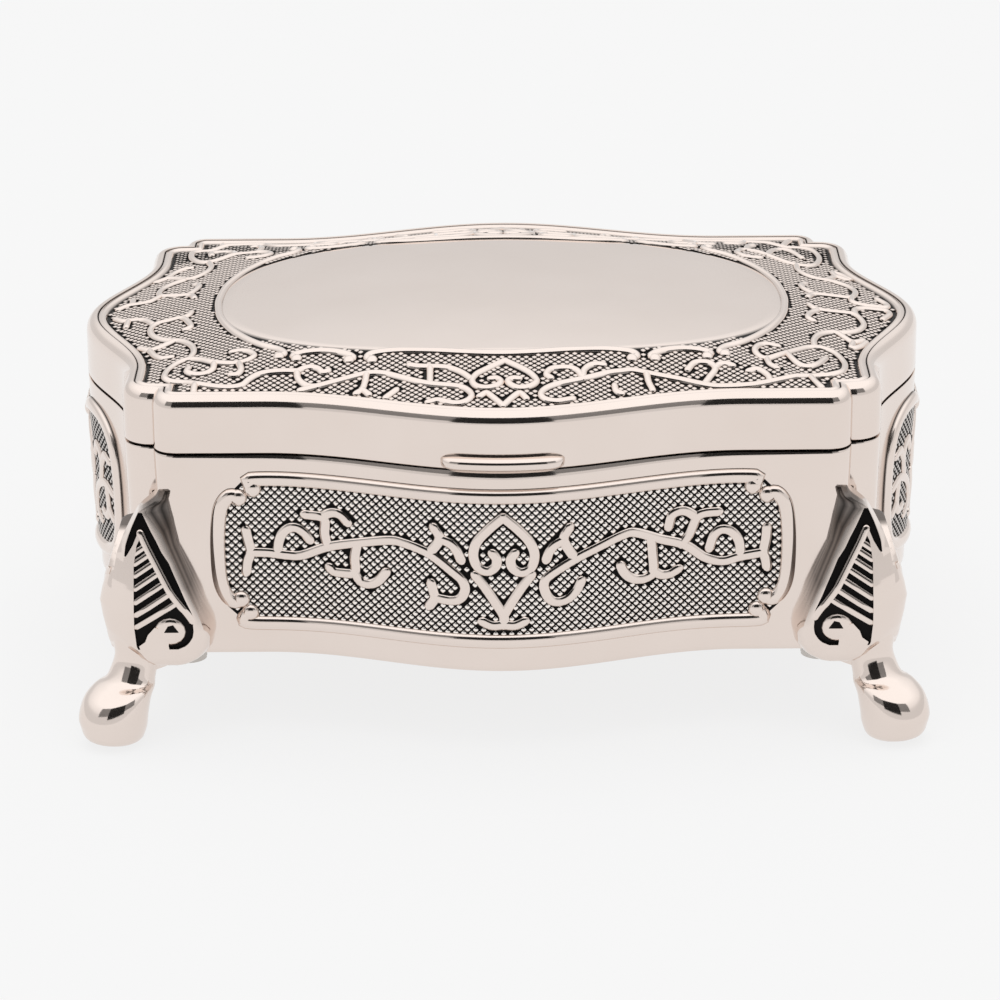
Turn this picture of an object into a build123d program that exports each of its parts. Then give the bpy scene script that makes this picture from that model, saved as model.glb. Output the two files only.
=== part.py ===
from build123d import *
import os

os.makedirs("parts", exist_ok=True)

# Sizes in millimetres. Z = 0 is the surface the feet stand on, X runs along the front, -Y is the front.

# Heights
BASE_BOTTOM_Z = 11.6
BASE_TOP_Z = 41.3
LID_BOTTOM_Z = 41.6
RIM_TOP_Z = 49.8

# Serpentine plan, one quarter, outside of the walls
SIDE_BULGE_X = 60.0
SIDE_BULGE_HALF = 25.0
EAR_X = 52.45
EAR_Y = 33.95
EAR_ROUND = 4.35
CREASE_X = 48.1
FRONT_ROUND = 3.4
FRONT_Y = 37.6
FRONT_BULGE_Y = 45.05
FRONT_BULGE_HALF = 33.0

# Castings
WALL = 1.4
BASE_FLOOR = 1.8
LID_TOP = 1.5
BASE_DRAFT = 0.9
RIM_WIDTH = 3.1
FIELD_DEPTH = 0.6

# Domed lid: the field slopes up to the polished oval, which is a cap of a very large sphere
OVAL_X = 41.0
OVAL_Y = 27.3
DOME_FOOT_X = 59.0
DOME_FOOT_Y = 44.0
DOME_RISE = 3.0
CROWN_RISE = 3.2
CROWN_RADIUS = 1500.0

# Raised panel frames on the four walls
FRAME_PROUD = 0.8
FRAME_WIDTH = 2.0
FRAME_LOW_Z = 15.4
FRAME_HIGH_Z = 38.8
FRONT_FRAME_HALF = 40.4
SIDE_FRAME_HALF = 15.4
FRAME_CORNER = 4.0

# Thumb lip at the front of the lid
LIP_HALF_LENGTH = 8.4
LIP_PROUD = 1.7
LIP_HEIGHT = 2.3
LIP_ROUND = 0.7

# Legs: a stem and a foot stand out from the corner crease along the diagonal.
# Each stem section is its distance out from the crease in X and in Y, its height and its radius
CORNER_X = 48.1
CORNER_Y = 34.05
STEM = (
    (2.5, 34.6, 1.4),
    (3.3, 28.0, 3.2),
    (3.9, 18.0, 4.0),
    (3.3, 10.5, 3.25),
    (4.5, 5.5, 3.2),
)
ANKLE_OUT = 3.3
FOOT_OUT = 6.5
FOOT_Z = 4.2
FOOT_RADIUS = 4.7

# Wing of a leg, X and Z on the front wall
WING_END_X = 50.6
WING_SHOULDER_X = 48.8
WING_PEAK_Z = 34.8
WING_PROUD = 4.4
WING_PEAK_PROUD = 1.4
VOLUTE_X = 45.0
VOLUTE_Z = 16.2
VOLUTE_RADIUS = 4.3
WING_RECESS = ((50.0, 30.4), (44.6, 19.9), (49.9, 15.0))
WING_RECESS_DEPTH = 0.9

# Tab that each leg tucks under the floor, and its screw
TAB_THICKNESS = 1.6
TAB_REACH = 13.4
TAB_WIDTH = 7.6
SCREW_INSET = 3.6
SCREW_RADIUS = 1.5
SCREW_CLEARANCE = 0.1
SCREW_LENGTH = 4.4
SCREW_HEAD_RADIUS = 2.6
SCREW_HEAD_HEIGHT = 1.3
SCREW_SLOT_WIDTH = 0.7
SCREW_SLOT_DEPTH = 0.6
BOSS_RADIUS = 2.8
BOSS_HEIGHT = 1.6

# Hinge at the middle of the back: two knuckles on the base leaf, one between them on the lid leaf
HINGE_AXIS_Y = 45.45
HINGE_AXIS_Z = 41.45
HINGE_HALF = 9.0
LID_KNUCKLE_HALF = 3.0
KNUCKLE_RADIUS = 1.3
KNUCKLE_GAP = 0.15
PIN_RADIUS = 0.65
PIN_CLEARANCE = 0.05
PIN_HEAD_RADIUS = 1.0
PIN_HEAD_LENGTH = 0.5
LEAF_THICKNESS = 0.6
LEAF_OFFSET = 0.35
LEAF_END_GAP = 0.15
BASE_LEAF_HEIGHT = 7.6
LID_LEAF_HEIGHT = 5.6
HINGE_SCREW_X = 6.0
BASE_SCREW_HEIGHT = 5.2
LID_SCREW_HEIGHT = 3.8
HINGE_SCREW_RADIUS = 0.8
HINGE_SCREW_LENGTH = 1.9
HINGE_SCREW_HEAD_RADIUS = 1.5
HINGE_SCREW_HEAD_HEIGHT = 0.5

# Seat of the hinge in each shell: a flat pad inside the wall, and a notch outside for the knuckles
PAD_Y = 41.3
PAD_BACK_Y = 43.0
PAD_HALF = 10.0
BASE_PAD_HEIGHT = 9.6
NOTCH_Y = 43.8
NOTCH_HALF = 9.8
NOTCH_DEPTH = 1.75
SEAT_REACH = 6.0

# Velvet lining on card
LINING_GAP = 0.1
LINING_FLOOR_HEIGHT = 1.4
LINING_WALL_THICKNESS = 0.8
LINING_WALL_TOP_Z = 39.9
LINING_BACK_Y = 40.0
LID_PAD_THICKNESS = 1.9
LID_PAD_SIDE_GAP = 0.4

# Worked out from the sizes above
FLOOR_TOP_Z = BASE_BOTTOM_Z + BASE_FLOOR
BOSS_TOP_Z = FLOOR_TOP_Z + BOSS_HEIGHT
LINING_FLOOR_TOP_Z = BOSS_TOP_Z + LINING_FLOOR_HEIGHT
FIELD_FOOT_Z = RIM_TOP_Z - FIELD_DEPTH
LID_UNDERSIDE_Z = FIELD_FOOT_Z - LID_TOP
TAB_BOTTOM_Z = BASE_BOTTOM_Z - TAB_THICKNESS
SCREW_X = CORNER_X - SCREW_INSET
SCREW_Y = CORNER_Y - SCREW_INSET
BASE_KNUCKLE_START = LID_KNUCKLE_HALF + KNUCKLE_GAP
MITRE_PLANE = Plane(origin=(CORNER_X, -CORNER_Y, 0), z_dir=(1, 1, 0))
LEAN_PLANE = Plane(
    origin=(0, -FRONT_Y - WING_PROUD, VOLUTE_Z),
    z_dir=(0, VOLUTE_Z - WING_PEAK_Z, WING_PROUD - WING_PEAK_PROUD),
)

# Each half of the hinge: the way it runs from the seam, the face of its strap that is nearest the seam,
# the height of its plate, the height of its screws and the ends of its knuckles
HINGE = {
    "base": (
        -1,
        HINGE_AXIS_Z - LEAF_OFFSET,
        BASE_LEAF_HEIGHT,
        BASE_SCREW_HEIGHT,
        ((-HINGE_HALF, -BASE_KNUCKLE_START), (BASE_KNUCKLE_START, HINGE_HALF)),
    ),
    "lid": (
        1,
        HINGE_AXIS_Z + LEAF_OFFSET,
        LID_LEAF_HEIGHT,
        LID_SCREW_HEIGHT,
        ((-LID_KNUCKLE_HALF, LID_KNUCKLE_HALF),),
    ),
}

# The way from the front right leg to each leg: mirrored in X, mirrored in Y
LEGS = {
    "leg_front_right": (False, False),
    "leg_front_left": (True, False),
    "leg_back_left": (True, True),
    "leg_back_right": (False, True),
}


# One S-shaped flank of a bulge: two equal tangent arcs from the crest to the straight run
def flank(crest, foot, direction):
    middle = (crest + foot) / 2
    upper = TangentArc(crest, middle, tangent=direction)
    TangentArc(middle, foot, tangent=upper % 1)


# The serpentine plan as a sketch, moved outward by grow, and cut off behind back_y for the lining
def plan(grow=0.0, back_y=None):
    with BuildSketch() as outline:
        with BuildLine():
            flank(Vector(0, FRONT_BULGE_Y), Vector(FRONT_BULGE_HALF, FRONT_Y), (1, 0))
            Line((FRONT_BULGE_HALF, FRONT_Y), (CREASE_X - FRONT_ROUND, FRONT_Y))
            RadiusArc((CREASE_X - FRONT_ROUND, FRONT_Y), (CREASE_X, FRONT_Y - FRONT_ROUND), FRONT_ROUND)
            Line((CREASE_X, FRONT_Y - FRONT_ROUND), (CREASE_X, EAR_Y))
            RadiusArc((CREASE_X, EAR_Y), (EAR_X, EAR_Y - EAR_ROUND), EAR_ROUND)
            Line((EAR_X, EAR_Y - EAR_ROUND), (EAR_X, SIDE_BULGE_HALF))
            flank(Vector(SIDE_BULGE_X, 0), Vector(EAR_X, SIDE_BULGE_HALF), (0, 1))
            mirror(about=Plane.YZ)
            mirror(about=Plane.XZ)
        make_face()
        if grow != 0:
            offset(amount=grow)
        if back_y is not None:
            with Locations((0, back_y - SIDE_BULGE_X)):
                Rectangle(2 * SIDE_BULGE_X, 2 * SIDE_BULGE_X, mode=Mode.INTERSECT)
    return outline.sketch


# A block of the plan between two heights. A drafted block draws in towards the bottom, as the base does
def plan_block(low_z, high_z, grow=0.0, back_y=None, drafted=False):
    draft = BASE_DRAFT / (BASE_TOP_Z - BASE_BOTTOM_Z) if drafted else 0.0
    with BuildPart() as block:
        for z in (low_z, high_z):
            with BuildSketch(Plane.XY.offset(z)):
                add(plan(grow - draft * (BASE_TOP_Z - z), back_y))
        loft(ruled=True)
    return block.part


# The shallow frustum under the field of the lid, kept inside the rim
def dome(foot_z):
    with BuildPart() as rise:
        with BuildSketch(Plane.XY.offset(foot_z)):
            Ellipse(DOME_FOOT_X, DOME_FOOT_Y)
        with BuildSketch(Plane.XY.offset(foot_z + DOME_RISE)):
            Ellipse(OVAL_X, OVAL_Y)
        loft(ruled=True)
        add(plan_block(foot_z, foot_z + DOME_RISE, -RIM_WIDTH), mode=Mode.INTERSECT)
    return rise.part


# Rectangular frame that passes through the whole box, square to a plane
def frame_bars(plane, half):
    height = FRAME_HIGH_Z - FRAME_LOW_Z
    with BuildPart() as bars:
        with BuildSketch(plane):
            with Locations((0, FRAME_LOW_Z + height / 2)):
                RectangleRounded(2 * half, height, FRAME_CORNER)
                RectangleRounded(
                    2 * (half - FRAME_WIDTH),
                    height - 2 * FRAME_WIDTH,
                    FRAME_CORNER - FRAME_WIDTH,
                    mode=Mode.SUBTRACT,
                )
        extrude(amount=2 * SIDE_BULGE_X, both=True)
    return bars.part


# Pad that the hinge plate is screwed to, inside the back wall of a shell
def hinge_pad(edge_z, height, up):
    inward = Align.MIN if up > 0 else Align.MAX
    with BuildPart() as pad:
        with Locations((0, PAD_Y, edge_z)):
            Box(2 * PAD_HALF, PAD_BACK_Y - PAD_Y, height, align=(Align.CENTER, Align.MIN, inward))
    return pad.part


# Room for half of the hinge in a shell: the notch for the knuckles, the slot for the strap, the screw holes
def hinge_room(edge_z, half_name):
    up, strap_z, _, screw_height, _ = HINGE[half_name]
    inward = Align.MIN if up > 0 else Align.MAX
    slot_depth = abs(strap_z - edge_z) + LEAF_THICKNESS
    with BuildPart() as room:
        with Locations((0, NOTCH_Y, edge_z)):
            Box(2 * NOTCH_HALF, SEAT_REACH, NOTCH_DEPTH, align=(Align.CENTER, Align.MIN, inward))
        with Locations((0, PAD_Y, edge_z)):
            Box(
                2 * (HINGE_HALF + LEAF_END_GAP),
                SEAT_REACH,
                slot_depth,
                align=(Align.CENTER, Align.MIN, inward),
            )
        with BuildSketch(Plane.XZ.offset(-PAD_Y)):
            with Locations((0, strap_z + up * screw_height)):
                with GridLocations(2 * HINGE_SCREW_X, 0, 2, 1):
                    Circle(HINGE_SCREW_RADIUS)
        extrude(amount=LEAF_THICKNESS - HINGE_SCREW_LENGTH)
    return room.part


# Raised frames on the walls
with BuildPart() as frames:
    add(frame_bars(Plane.XZ, FRONT_FRAME_HALF))
    add(frame_bars(Plane.YZ, SIDE_FRAME_HALF))
    add(plan_block(FRAME_LOW_Z, FRAME_HIGH_Z, FRAME_PROUD, drafted=True), mode=Mode.INTERSECT)

# Base: a tub with raised frames, bosses for the leg screws and a seat for the hinge
with BuildPart() as base_body:
    add(plan_block(BASE_BOTTOM_Z, BASE_TOP_Z, drafted=True))
    add(frames.part)
    add(plan_block(FLOOR_TOP_Z, BASE_TOP_Z, -WALL, drafted=True), mode=Mode.SUBTRACT)
    with BuildSketch(Plane.XY.offset(FLOOR_TOP_Z)):
        with GridLocations(2 * SCREW_X, 2 * SCREW_Y, 2, 2):
            Circle(BOSS_RADIUS)
    extrude(amount=BOSS_HEIGHT)
    with BuildSketch(Plane.XY.offset(TAB_BOTTOM_Z)):
        with GridLocations(2 * SCREW_X, 2 * SCREW_Y, 2, 2):
            Circle(SCREW_RADIUS)
    extrude(amount=SCREW_LENGTH, mode=Mode.SUBTRACT)
    add(hinge_pad(BASE_TOP_Z, BASE_PAD_HEIGHT, -1))
    add(hinge_room(BASE_TOP_Z, "base"), mode=Mode.SUBTRACT)
base_body.part.label = "base_body"
export_step(base_body.part, "parts/base_body.step")

# Thumb lip, a short rounded bar that follows the front bulge
with BuildPart() as thumb_lip:
    add(plan_block(LID_BOTTOM_Z, LID_BOTTOM_Z + LIP_HEIGHT, LIP_PROUD))
    with Locations((0, -FRONT_BULGE_Y, LID_BOTTOM_Z + LIP_HEIGHT / 2)):
        Box(2 * LIP_HALF_LENGTH, 3 * LIP_PROUD, LIP_HEIGHT, mode=Mode.INTERSECT)
    fillet(thumb_lip.faces().sort_by(Axis.Y)[0].edges(), radius=LIP_ROUND)
    add(plan_block(LID_BOTTOM_Z, LID_BOTTOM_Z + LIP_HEIGHT, -WALL), mode=Mode.SUBTRACT)

# Polished oval of the lid
with BuildPart() as crown:
    with BuildSketch(Plane.XY.offset(FIELD_FOOT_Z)):
        Ellipse(OVAL_X, OVAL_Y)
    extrude(amount=2 * CROWN_RISE)
    with Locations((0, 0, RIM_TOP_Z + CROWN_RISE - CROWN_RADIUS)):
        Sphere(CROWN_RADIUS, mode=Mode.INTERSECT)

# Lid: skirt, rim, domed top and thumb lip, with a seat for the hinge
with BuildPart() as lid_shell:
    add(plan_block(LID_BOTTOM_Z, RIM_TOP_Z))
    add(plan_block(FIELD_FOOT_Z, RIM_TOP_Z, -RIM_WIDTH), mode=Mode.SUBTRACT)
    add(dome(FIELD_FOOT_Z))
    add(crown.part)
    add(plan_block(LID_BOTTOM_Z, LID_UNDERSIDE_Z, -WALL), mode=Mode.SUBTRACT)
    add(dome(LID_UNDERSIDE_Z), mode=Mode.SUBTRACT)
    add(thumb_lip.part)
    add(hinge_pad(LID_BOTTOM_Z, LID_UNDERSIDE_Z - LID_BOTTOM_Z, 1))
    add(hinge_room(LID_BOTTOM_Z, "lid"), mode=Mode.SUBTRACT)
lid_shell.part.label = "lid_shell"
export_step(lid_shell.part, "parts/lid_shell.step")

# Sunk panel in a wing, behind the same leaning face
with BuildPart() as wing_recess:
    with BuildSketch(Plane.XZ.offset(FRONT_Y)):
        with BuildLine():
            Polyline(*WING_RECESS, close=True)
        make_face()
    extrude(amount=2 * WING_PROUD)
    split(bisect_by=LEAN_PLANE.offset(-WING_RECESS_DEPTH), keep=Keep.TOP)

# Wing of a leg on the front wall, with a volute at its foot and a face that leans back to the peak
with BuildPart() as wing:
    with BuildSketch(Plane.XZ.offset(FRONT_Y - FRONT_ROUND)):
        with BuildLine():
            Polyline(
                (WING_END_X, WING_PEAK_Z),
                (WING_SHOULDER_X, WING_PEAK_Z),
                (VOLUTE_X - VOLUTE_RADIUS, VOLUTE_Z),
                (VOLUTE_X, VOLUTE_Z - VOLUTE_RADIUS),
                (WING_END_X, VOLUTE_Z - VOLUTE_RADIUS),
                close=True,
            )
        make_face()
        with Locations((VOLUTE_X, VOLUTE_Z)):
            Circle(VOLUTE_RADIUS)
    extrude(amount=FRONT_ROUND + 2 * WING_PROUD)
    split(bisect_by=LEAN_PLANE, keep=Keep.BOTTOM)
    add(wing_recess.part, mode=Mode.SUBTRACT)

# Front right leg: stem, foot, a wing on each side of the corner and a tab under the floor
with BuildPart() as leg:
    for out, z, radius in STEM:
        with BuildSketch(Plane.XY.offset(z)):
            with Locations((CORNER_X + out, -CORNER_Y - out)):
                Circle(radius)
    loft()
    with Locations((CORNER_X + FOOT_OUT, -CORNER_Y - FOOT_OUT, FOOT_Z)):
        Sphere(FOOT_RADIUS)
    add(wing.part)
    add(mirror(wing.part, about=MITRE_PLANE))
    with BuildSketch(Plane.XY.offset(TAB_BOTTOM_Z)):
        with Locations(Location((CORNER_X + ANKLE_OUT, -CORNER_Y - ANKLE_OUT), 135)):
            Rectangle(TAB_REACH, TAB_WIDTH, align=(Align.MIN, Align.CENTER))
    extrude(amount=TAB_THICKNESS)
    with BuildSketch(Plane.XY.offset(TAB_BOTTOM_Z)):
        with Locations((SCREW_X, -SCREW_Y)):
            Circle(SCREW_RADIUS + SCREW_CLEARANCE)
    extrude(amount=TAB_THICKNESS, mode=Mode.SUBTRACT)
    add(plan_block(BASE_BOTTOM_Z, BASE_TOP_Z, drafted=True), mode=Mode.SUBTRACT)
    split(bisect_by=Plane.XY, keep=Keep.TOP)

# The four legs are mirror images of each other
for name, (mirror_x, mirror_y) in LEGS.items():
    with BuildPart() as placed_leg:
        add(leg.part)
        if mirror_x:
            mirror(about=Plane.YZ, mode=Mode.REPLACE)
        if mirror_y:
            mirror(about=Plane.XZ, mode=Mode.REPLACE)
    placed_leg.part.label = name
    export_step(placed_leg.part, "parts/" + name + ".step")

# Slotted screws that hold the legs, up through the tabs into the bosses
with BuildPart() as leg_screws:
    with BuildSketch(Plane.XY.offset(TAB_BOTTOM_Z)):
        with GridLocations(2 * SCREW_X, 2 * SCREW_Y, 2, 2):
            Circle(SCREW_HEAD_RADIUS)
    extrude(amount=-SCREW_HEAD_HEIGHT)
    with BuildSketch(Plane.XY.offset(TAB_BOTTOM_Z)):
        with GridLocations(2 * SCREW_X, 2 * SCREW_Y, 2, 2):
            Circle(SCREW_RADIUS)
    extrude(amount=SCREW_LENGTH)
    with BuildSketch(Plane.XY.offset(TAB_BOTTOM_Z - SCREW_HEAD_HEIGHT)):
        with GridLocations(2 * SCREW_X, 2 * SCREW_Y, 2, 2):
            Rectangle(2 * SCREW_HEAD_RADIUS, SCREW_SLOT_WIDTH)
    extrude(amount=SCREW_SLOT_DEPTH, mode=Mode.SUBTRACT)
leg_screws.part.label = "leg_screws"
export_step(leg_screws.part, "parts/leg_screws.step")

# Hinge leaves and their screws. A leaf is a plate on its pad, a strap through the wall and its knuckles
for half_name, (up, strap_z, height, screw_height, knuckles) in HINGE.items():
    away = Align.MIN if up > 0 else Align.MAX
    with BuildPart() as leaf:
        with Locations((0, PAD_Y - LEAF_THICKNESS, strap_z)):
            Box(2 * HINGE_HALF, LEAF_THICKNESS, height, align=(Align.CENTER, Align.MIN, away))
            Box(2 * HINGE_HALF, NOTCH_Y - PAD_Y, LEAF_THICKNESS, align=(Align.CENTER, Align.MIN, away))
        for start, end in knuckles:
            with Locations((start, PAD_Y, strap_z)):
                Box(end - start, HINGE_AXIS_Y - PAD_Y, LEAF_THICKNESS, align=(Align.MIN, Align.MIN, away))
            with BuildSketch(Plane.YZ.offset(start)):
                with Locations((HINGE_AXIS_Y, HINGE_AXIS_Z)):
                    Circle(KNUCKLE_RADIUS)
            extrude(amount=end - start)
        with BuildSketch(Plane.YZ):
            with Locations((HINGE_AXIS_Y, HINGE_AXIS_Z)):
                Circle(PIN_RADIUS + PIN_CLEARANCE)
        extrude(amount=HINGE_HALF, both=True, mode=Mode.SUBTRACT)
        with BuildSketch(Plane.XZ.offset(-PAD_Y)):
            with Locations((0, strap_z + up * screw_height)):
                with GridLocations(2 * HINGE_SCREW_X, 0, 2, 1):
                    Circle(HINGE_SCREW_RADIUS)
        extrude(amount=LEAF_THICKNESS, mode=Mode.SUBTRACT)
    leaf.part.label = "hinge_" + half_name + "_leaf"
    export_step(leaf.part, "parts/hinge_" + half_name + "_leaf.step")

    with BuildPart() as hinge_screws:
        with BuildSketch(Plane.XZ.offset(LEAF_THICKNESS - PAD_Y)):
            with Locations((0, strap_z + up * screw_height)):
                with GridLocations(2 * HINGE_SCREW_X, 0, 2, 1):
                    Circle(HINGE_SCREW_HEAD_RADIUS)
        extrude(amount=HINGE_SCREW_HEAD_HEIGHT)
        with BuildSketch(Plane.XZ.offset(LEAF_THICKNESS - PAD_Y)):
            with Locations((0, strap_z + up * screw_height)):
                with GridLocations(2 * HINGE_SCREW_X, 0, 2, 1):
                    Circle(HINGE_SCREW_RADIUS)
        extrude(amount=-HINGE_SCREW_LENGTH)
    hinge_screws.part.label = "hinge_screws_" + half_name
    export_step(hinge_screws.part, "parts/hinge_screws_" + half_name + ".step")

# Hinge pin with a small head at each end
with BuildPart() as hinge_pin:
    with BuildSketch(Plane.YZ):
        with Locations((HINGE_AXIS_Y, HINGE_AXIS_Z)):
            Circle(PIN_RADIUS)
    extrude(amount=HINGE_HALF, both=True)
    for end in (-1, 1):
        with BuildSketch(Plane.YZ.offset(end * HINGE_HALF)):
            with Locations((HINGE_AXIS_Y, HINGE_AXIS_Z)):
                Circle(PIN_HEAD_RADIUS)
        extrude(amount=end * PIN_HEAD_LENGTH)
hinge_pin.part.label = "hinge_pin"
export_step(hinge_pin.part, "parts/hinge_pin.step")

# Lining floor, a covered card that lies on the bosses
with BuildPart() as lining_floor:
    add(plan_block(BOSS_TOP_Z, LINING_FLOOR_TOP_Z, -WALL - LINING_GAP, LINING_BACK_Y, drafted=True))
lining_floor.part.label = "base_lining_floor"
export_step(lining_floor.part, "parts/base_lining_floor.step")

# Lining wall, a strip that runs round the inside and straight across in front of the hinge
with BuildPart() as lining_wall:
    add(plan_block(LINING_FLOOR_TOP_Z, LINING_WALL_TOP_Z, -WALL - LINING_GAP, LINING_BACK_Y, drafted=True))
    add(
        plan_block(
            LINING_FLOOR_TOP_Z,
            LINING_WALL_TOP_Z,
            -WALL - LINING_GAP - LINING_WALL_THICKNESS,
            LINING_BACK_Y - LINING_WALL_THICKNESS,
            drafted=True,
        ),
        mode=Mode.SUBTRACT,
    )
lining_wall.part.label = "base_lining_wall"
export_step(lining_wall.part, "parts/base_lining_wall.step")

# Lid lining, a padded card under the top
with BuildPart() as lid_lining:
    add(
        plan_block(
            LID_UNDERSIDE_Z - LID_PAD_THICKNESS,
            LID_UNDERSIDE_Z,
            -WALL - LID_PAD_SIDE_GAP,
            LINING_BACK_Y,
        )
    )
lid_lining.part.label = "lid_lining_pad"
export_step(lid_lining.part, "parts/lid_lining_pad.step")
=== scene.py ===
"""Silver plated trinket box: lattice grounds, raised vines, polished rims, ribbed legs and velvet lining."""
import math

import bpy
import numpy as np
from mathutils import Matrix, Vector


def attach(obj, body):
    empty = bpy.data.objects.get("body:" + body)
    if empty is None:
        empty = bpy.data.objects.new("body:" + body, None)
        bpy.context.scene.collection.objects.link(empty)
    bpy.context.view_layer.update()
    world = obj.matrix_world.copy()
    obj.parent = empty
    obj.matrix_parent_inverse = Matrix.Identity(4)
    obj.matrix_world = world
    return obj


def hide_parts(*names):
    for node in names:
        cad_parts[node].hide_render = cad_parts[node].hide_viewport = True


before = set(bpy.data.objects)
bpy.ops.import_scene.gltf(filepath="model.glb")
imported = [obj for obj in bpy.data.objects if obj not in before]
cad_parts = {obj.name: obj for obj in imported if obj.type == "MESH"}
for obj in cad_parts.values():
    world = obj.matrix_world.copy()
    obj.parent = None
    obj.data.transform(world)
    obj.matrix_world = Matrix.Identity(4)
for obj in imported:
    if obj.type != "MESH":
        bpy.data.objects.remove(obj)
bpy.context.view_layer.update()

# Sizes below are in millimetres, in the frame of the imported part
MM = 0.001

# Heights above the floor
BASE_BOTTOM_Z = 11.6
BASE_TOP_Z = 41.3
LID_BOTTOM_Z = 41.6
RIM_TOP_Z = 49.8

# Serpentine plan, one quarter, outside of the walls
SIDE_BULGE_X = 60.0
SIDE_BULGE_HALF = 25.0
EAR_X = 52.45
EAR_Y = 33.95
EAR_ROUND = 4.35
CREASE_X = 48.1
CREASE_Y = 34.05
FRONT_ROUND = 3.4
FRONT_Y = 37.6
FRONT_FLAT_X = (42.0, 39.0, 36.0)
FRONT_BULGE_Y = 45.05
FRONT_BULGE_HALF = 33.0

# Castings
WALL = 1.4
BASE_FOOT_ROUND = 0.8
BASE_DRAFT = 0.9
BASE_FLOOR_Z = 13.4
TOP_EDGE_TURN = math.radians(30)
TOP_EDGE_MIDDLE = 3.4
TOP_EDGE_CORNER = 0.5
LID_UNDERSIDE_Z = 47.7
RIM_WIDTH = 3.1
RIM_ROUND_IN = 1.5
RIM_ROUND_DOWN = 2.1
FIELD_Z = 49.2
BASE_INNER_CUT = 0.15
BASE_WALL_LEVELS = np.linspace(13.5, 39.0, 14)
# Inset of the ring on the base's top edge that carries painted shadow, for the seam under the lid
SEAM_SHADOW_INSET = 0.62
LID_INNER_CUT = 0.2
LID_EDGE_ROUND = 0.3
LID_WALL_LEVELS = (43.0, 45.0, 47.0)

# The groove between the lid's two rims, as inset, height and patina, and the inner rim's middle and radius
RIM_GROOVE = [(1.62, 49.7, 0.4), (1.67, 49.4, 1), (1.75, 49.4, 1), (1.82, 49.6, 0.3)]
INNER_RIM = (2.43, 49.3, 0.5)
INNER_RIM_FOOT = (3.0, 49.3, 0.8)

# Oval of the lid, fuller than an ellipse. Its edge is lower at the sides, because the lid is domed.
OVAL_X = 40.7
OVAL_Y = 26.5
OVAL_POWER = 2.5
OVAL_EDGE_Z = 52.4
OVAL_SIDE_DROP = 1.2
OVAL_STEP = 0.15
CROWN_Z = 52.95
FIELD_SHARES = np.linspace(0, 1, 9)[1:]
OVAL_SHARES = (0.985, 0.95, 0.85, 0.7, 0.5, 0.3, 0.12)

# Ornament
BEAD_PITCH = 1.12
VINE_RISE = 0.55
LID_VINE_WIDTH = 1.1
WALL_VINE_WIDTH = 1.45
WALL_VINE_FULLNESS = 0.6
BAR_WIDTH = 2.2
BAR_RISE = 0.8
BULB_EXTRA_RISE = 0.1
OVAL_FRAME_WIDTH = 1.2
OVAL_FRAME_RISE = 0.6
CURVE_STEPS = 12
STROKE_STEP = 0.3

# Room left between beads and strokes. The beads reach a little way under the frame bars.
LID_VINE_GAP = 0.22
OVAL_FRAME_GAP = 0.2
WALL_VINE_GAP = 0.13
BEADS_UNDER_BARS = 0.2
FIELD_BEADS_FROM = 0.02
FIELD_BEADS_TO = 0.985

# Ground panels inside the frames, Z and half lengths
PANEL_LOW_Z = 16.4
PANEL_HIGH_Z = 37.6
FRONT_PANEL_HALF = 39.4
SIDE_PANEL_HALF = 14.4
CORNER_CUT = 3.6
BAR_BULB_RADIUS = 1.3
GROUND_RISES = (0.04, -0.3)

# Thumb lip
LIP_HALF = 8.4
LIP_PROUD = 1.65
LIP_BOTTOM_Z = 41.7
LIP_TOP_Z = 43.8
LIP_END = 3.0
LIP_END_SHARE = 0.35
LIP_SINK = 0.3

# Hinge room in the castings
PAD_HALF = 10.0
PAD_INNER_Y = 41.3
PAD_OUTER_Y = 43.6
BASE_PAD_BOTTOM_Z = 31.7
NOTCH_HALF = 9.8
NOTCH_INNER_Y = 43.8
NOTCH_OUTER_Y = 47.0
NOTCH_BOTTOM_Z = 39.55
NOTCH_TOP_Z = 43.35
SLOT_HALF = 9.15
SLOT_INNER_Y = 41.0
SLOT_OUTER_Y = 44.5
SLOT_BOTTOM_Z = 40.5
SLOT_TOP_Z = 42.4
CUT_LOW_Z = 41.0
CUT_HIGH_Z = 42.0

# Linings
CARD_THICKNESS = 0.8
CARD_GAP = 0.1
FLOOR_CARD_BOTTOM_Z = 15.0
FLOOR_CARD_TOP_Z = 16.4
WALL_CARD_TOP_Z = 39.9
CARD_BACK_Y = 40.0
PAD_INSET = 1.8
PAD_EDGE_Z = 45.9
FLOOR_CROWN = 0.3
FLOOR_CROWN_SHARES = (0.95, 0.9, 0.8, 0.65, 0.5, 0.35, 0.2, 0.08)

# The floor card's rolled edge, as share of its reach and height
FLOOR_CARD_EDGE = ((0.985, FLOOR_CARD_BOTTOM_Z), (1.0, 15.4), (1.0, 15.9), (0.993, 16.25), (0.98, 16.38))

# The wall card from outside over its rolled top to inside, as share of its thickness, height and softness
WALL_CARD_SECTION = (
    (0.0, 16.6, 0.0), (0.0, 39.5, 0.0), (0.12, 39.82, 0.0), (0.4, WALL_CARD_TOP_Z, 0.0), (0.68, 39.82, 0.0),
    (0.8, 39.5, 0.0), (0.86, 36.0, 0.03), (0.88, 32.0, 0.05), (0.88, 27.0, 0.06), (0.86, 22.0, 0.04),
    (0.8, 16.9, 0.0),
)

# The lid's pad from its middle, which hangs lowest, round its edge to its back: share of its reach, and rise
LID_PAD_SECTION = (
    (0.12, -0.95), (0.3, -0.9), (0.5, -0.8), (0.65, -0.68), (0.78, -0.5), (0.88, -0.25), (0.94, 0.0),
    (0.975, 0.35), (0.993, 0.8), (1.0, 1.2), (1.0, 1.7), (0.99, 1.88),
)


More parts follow.
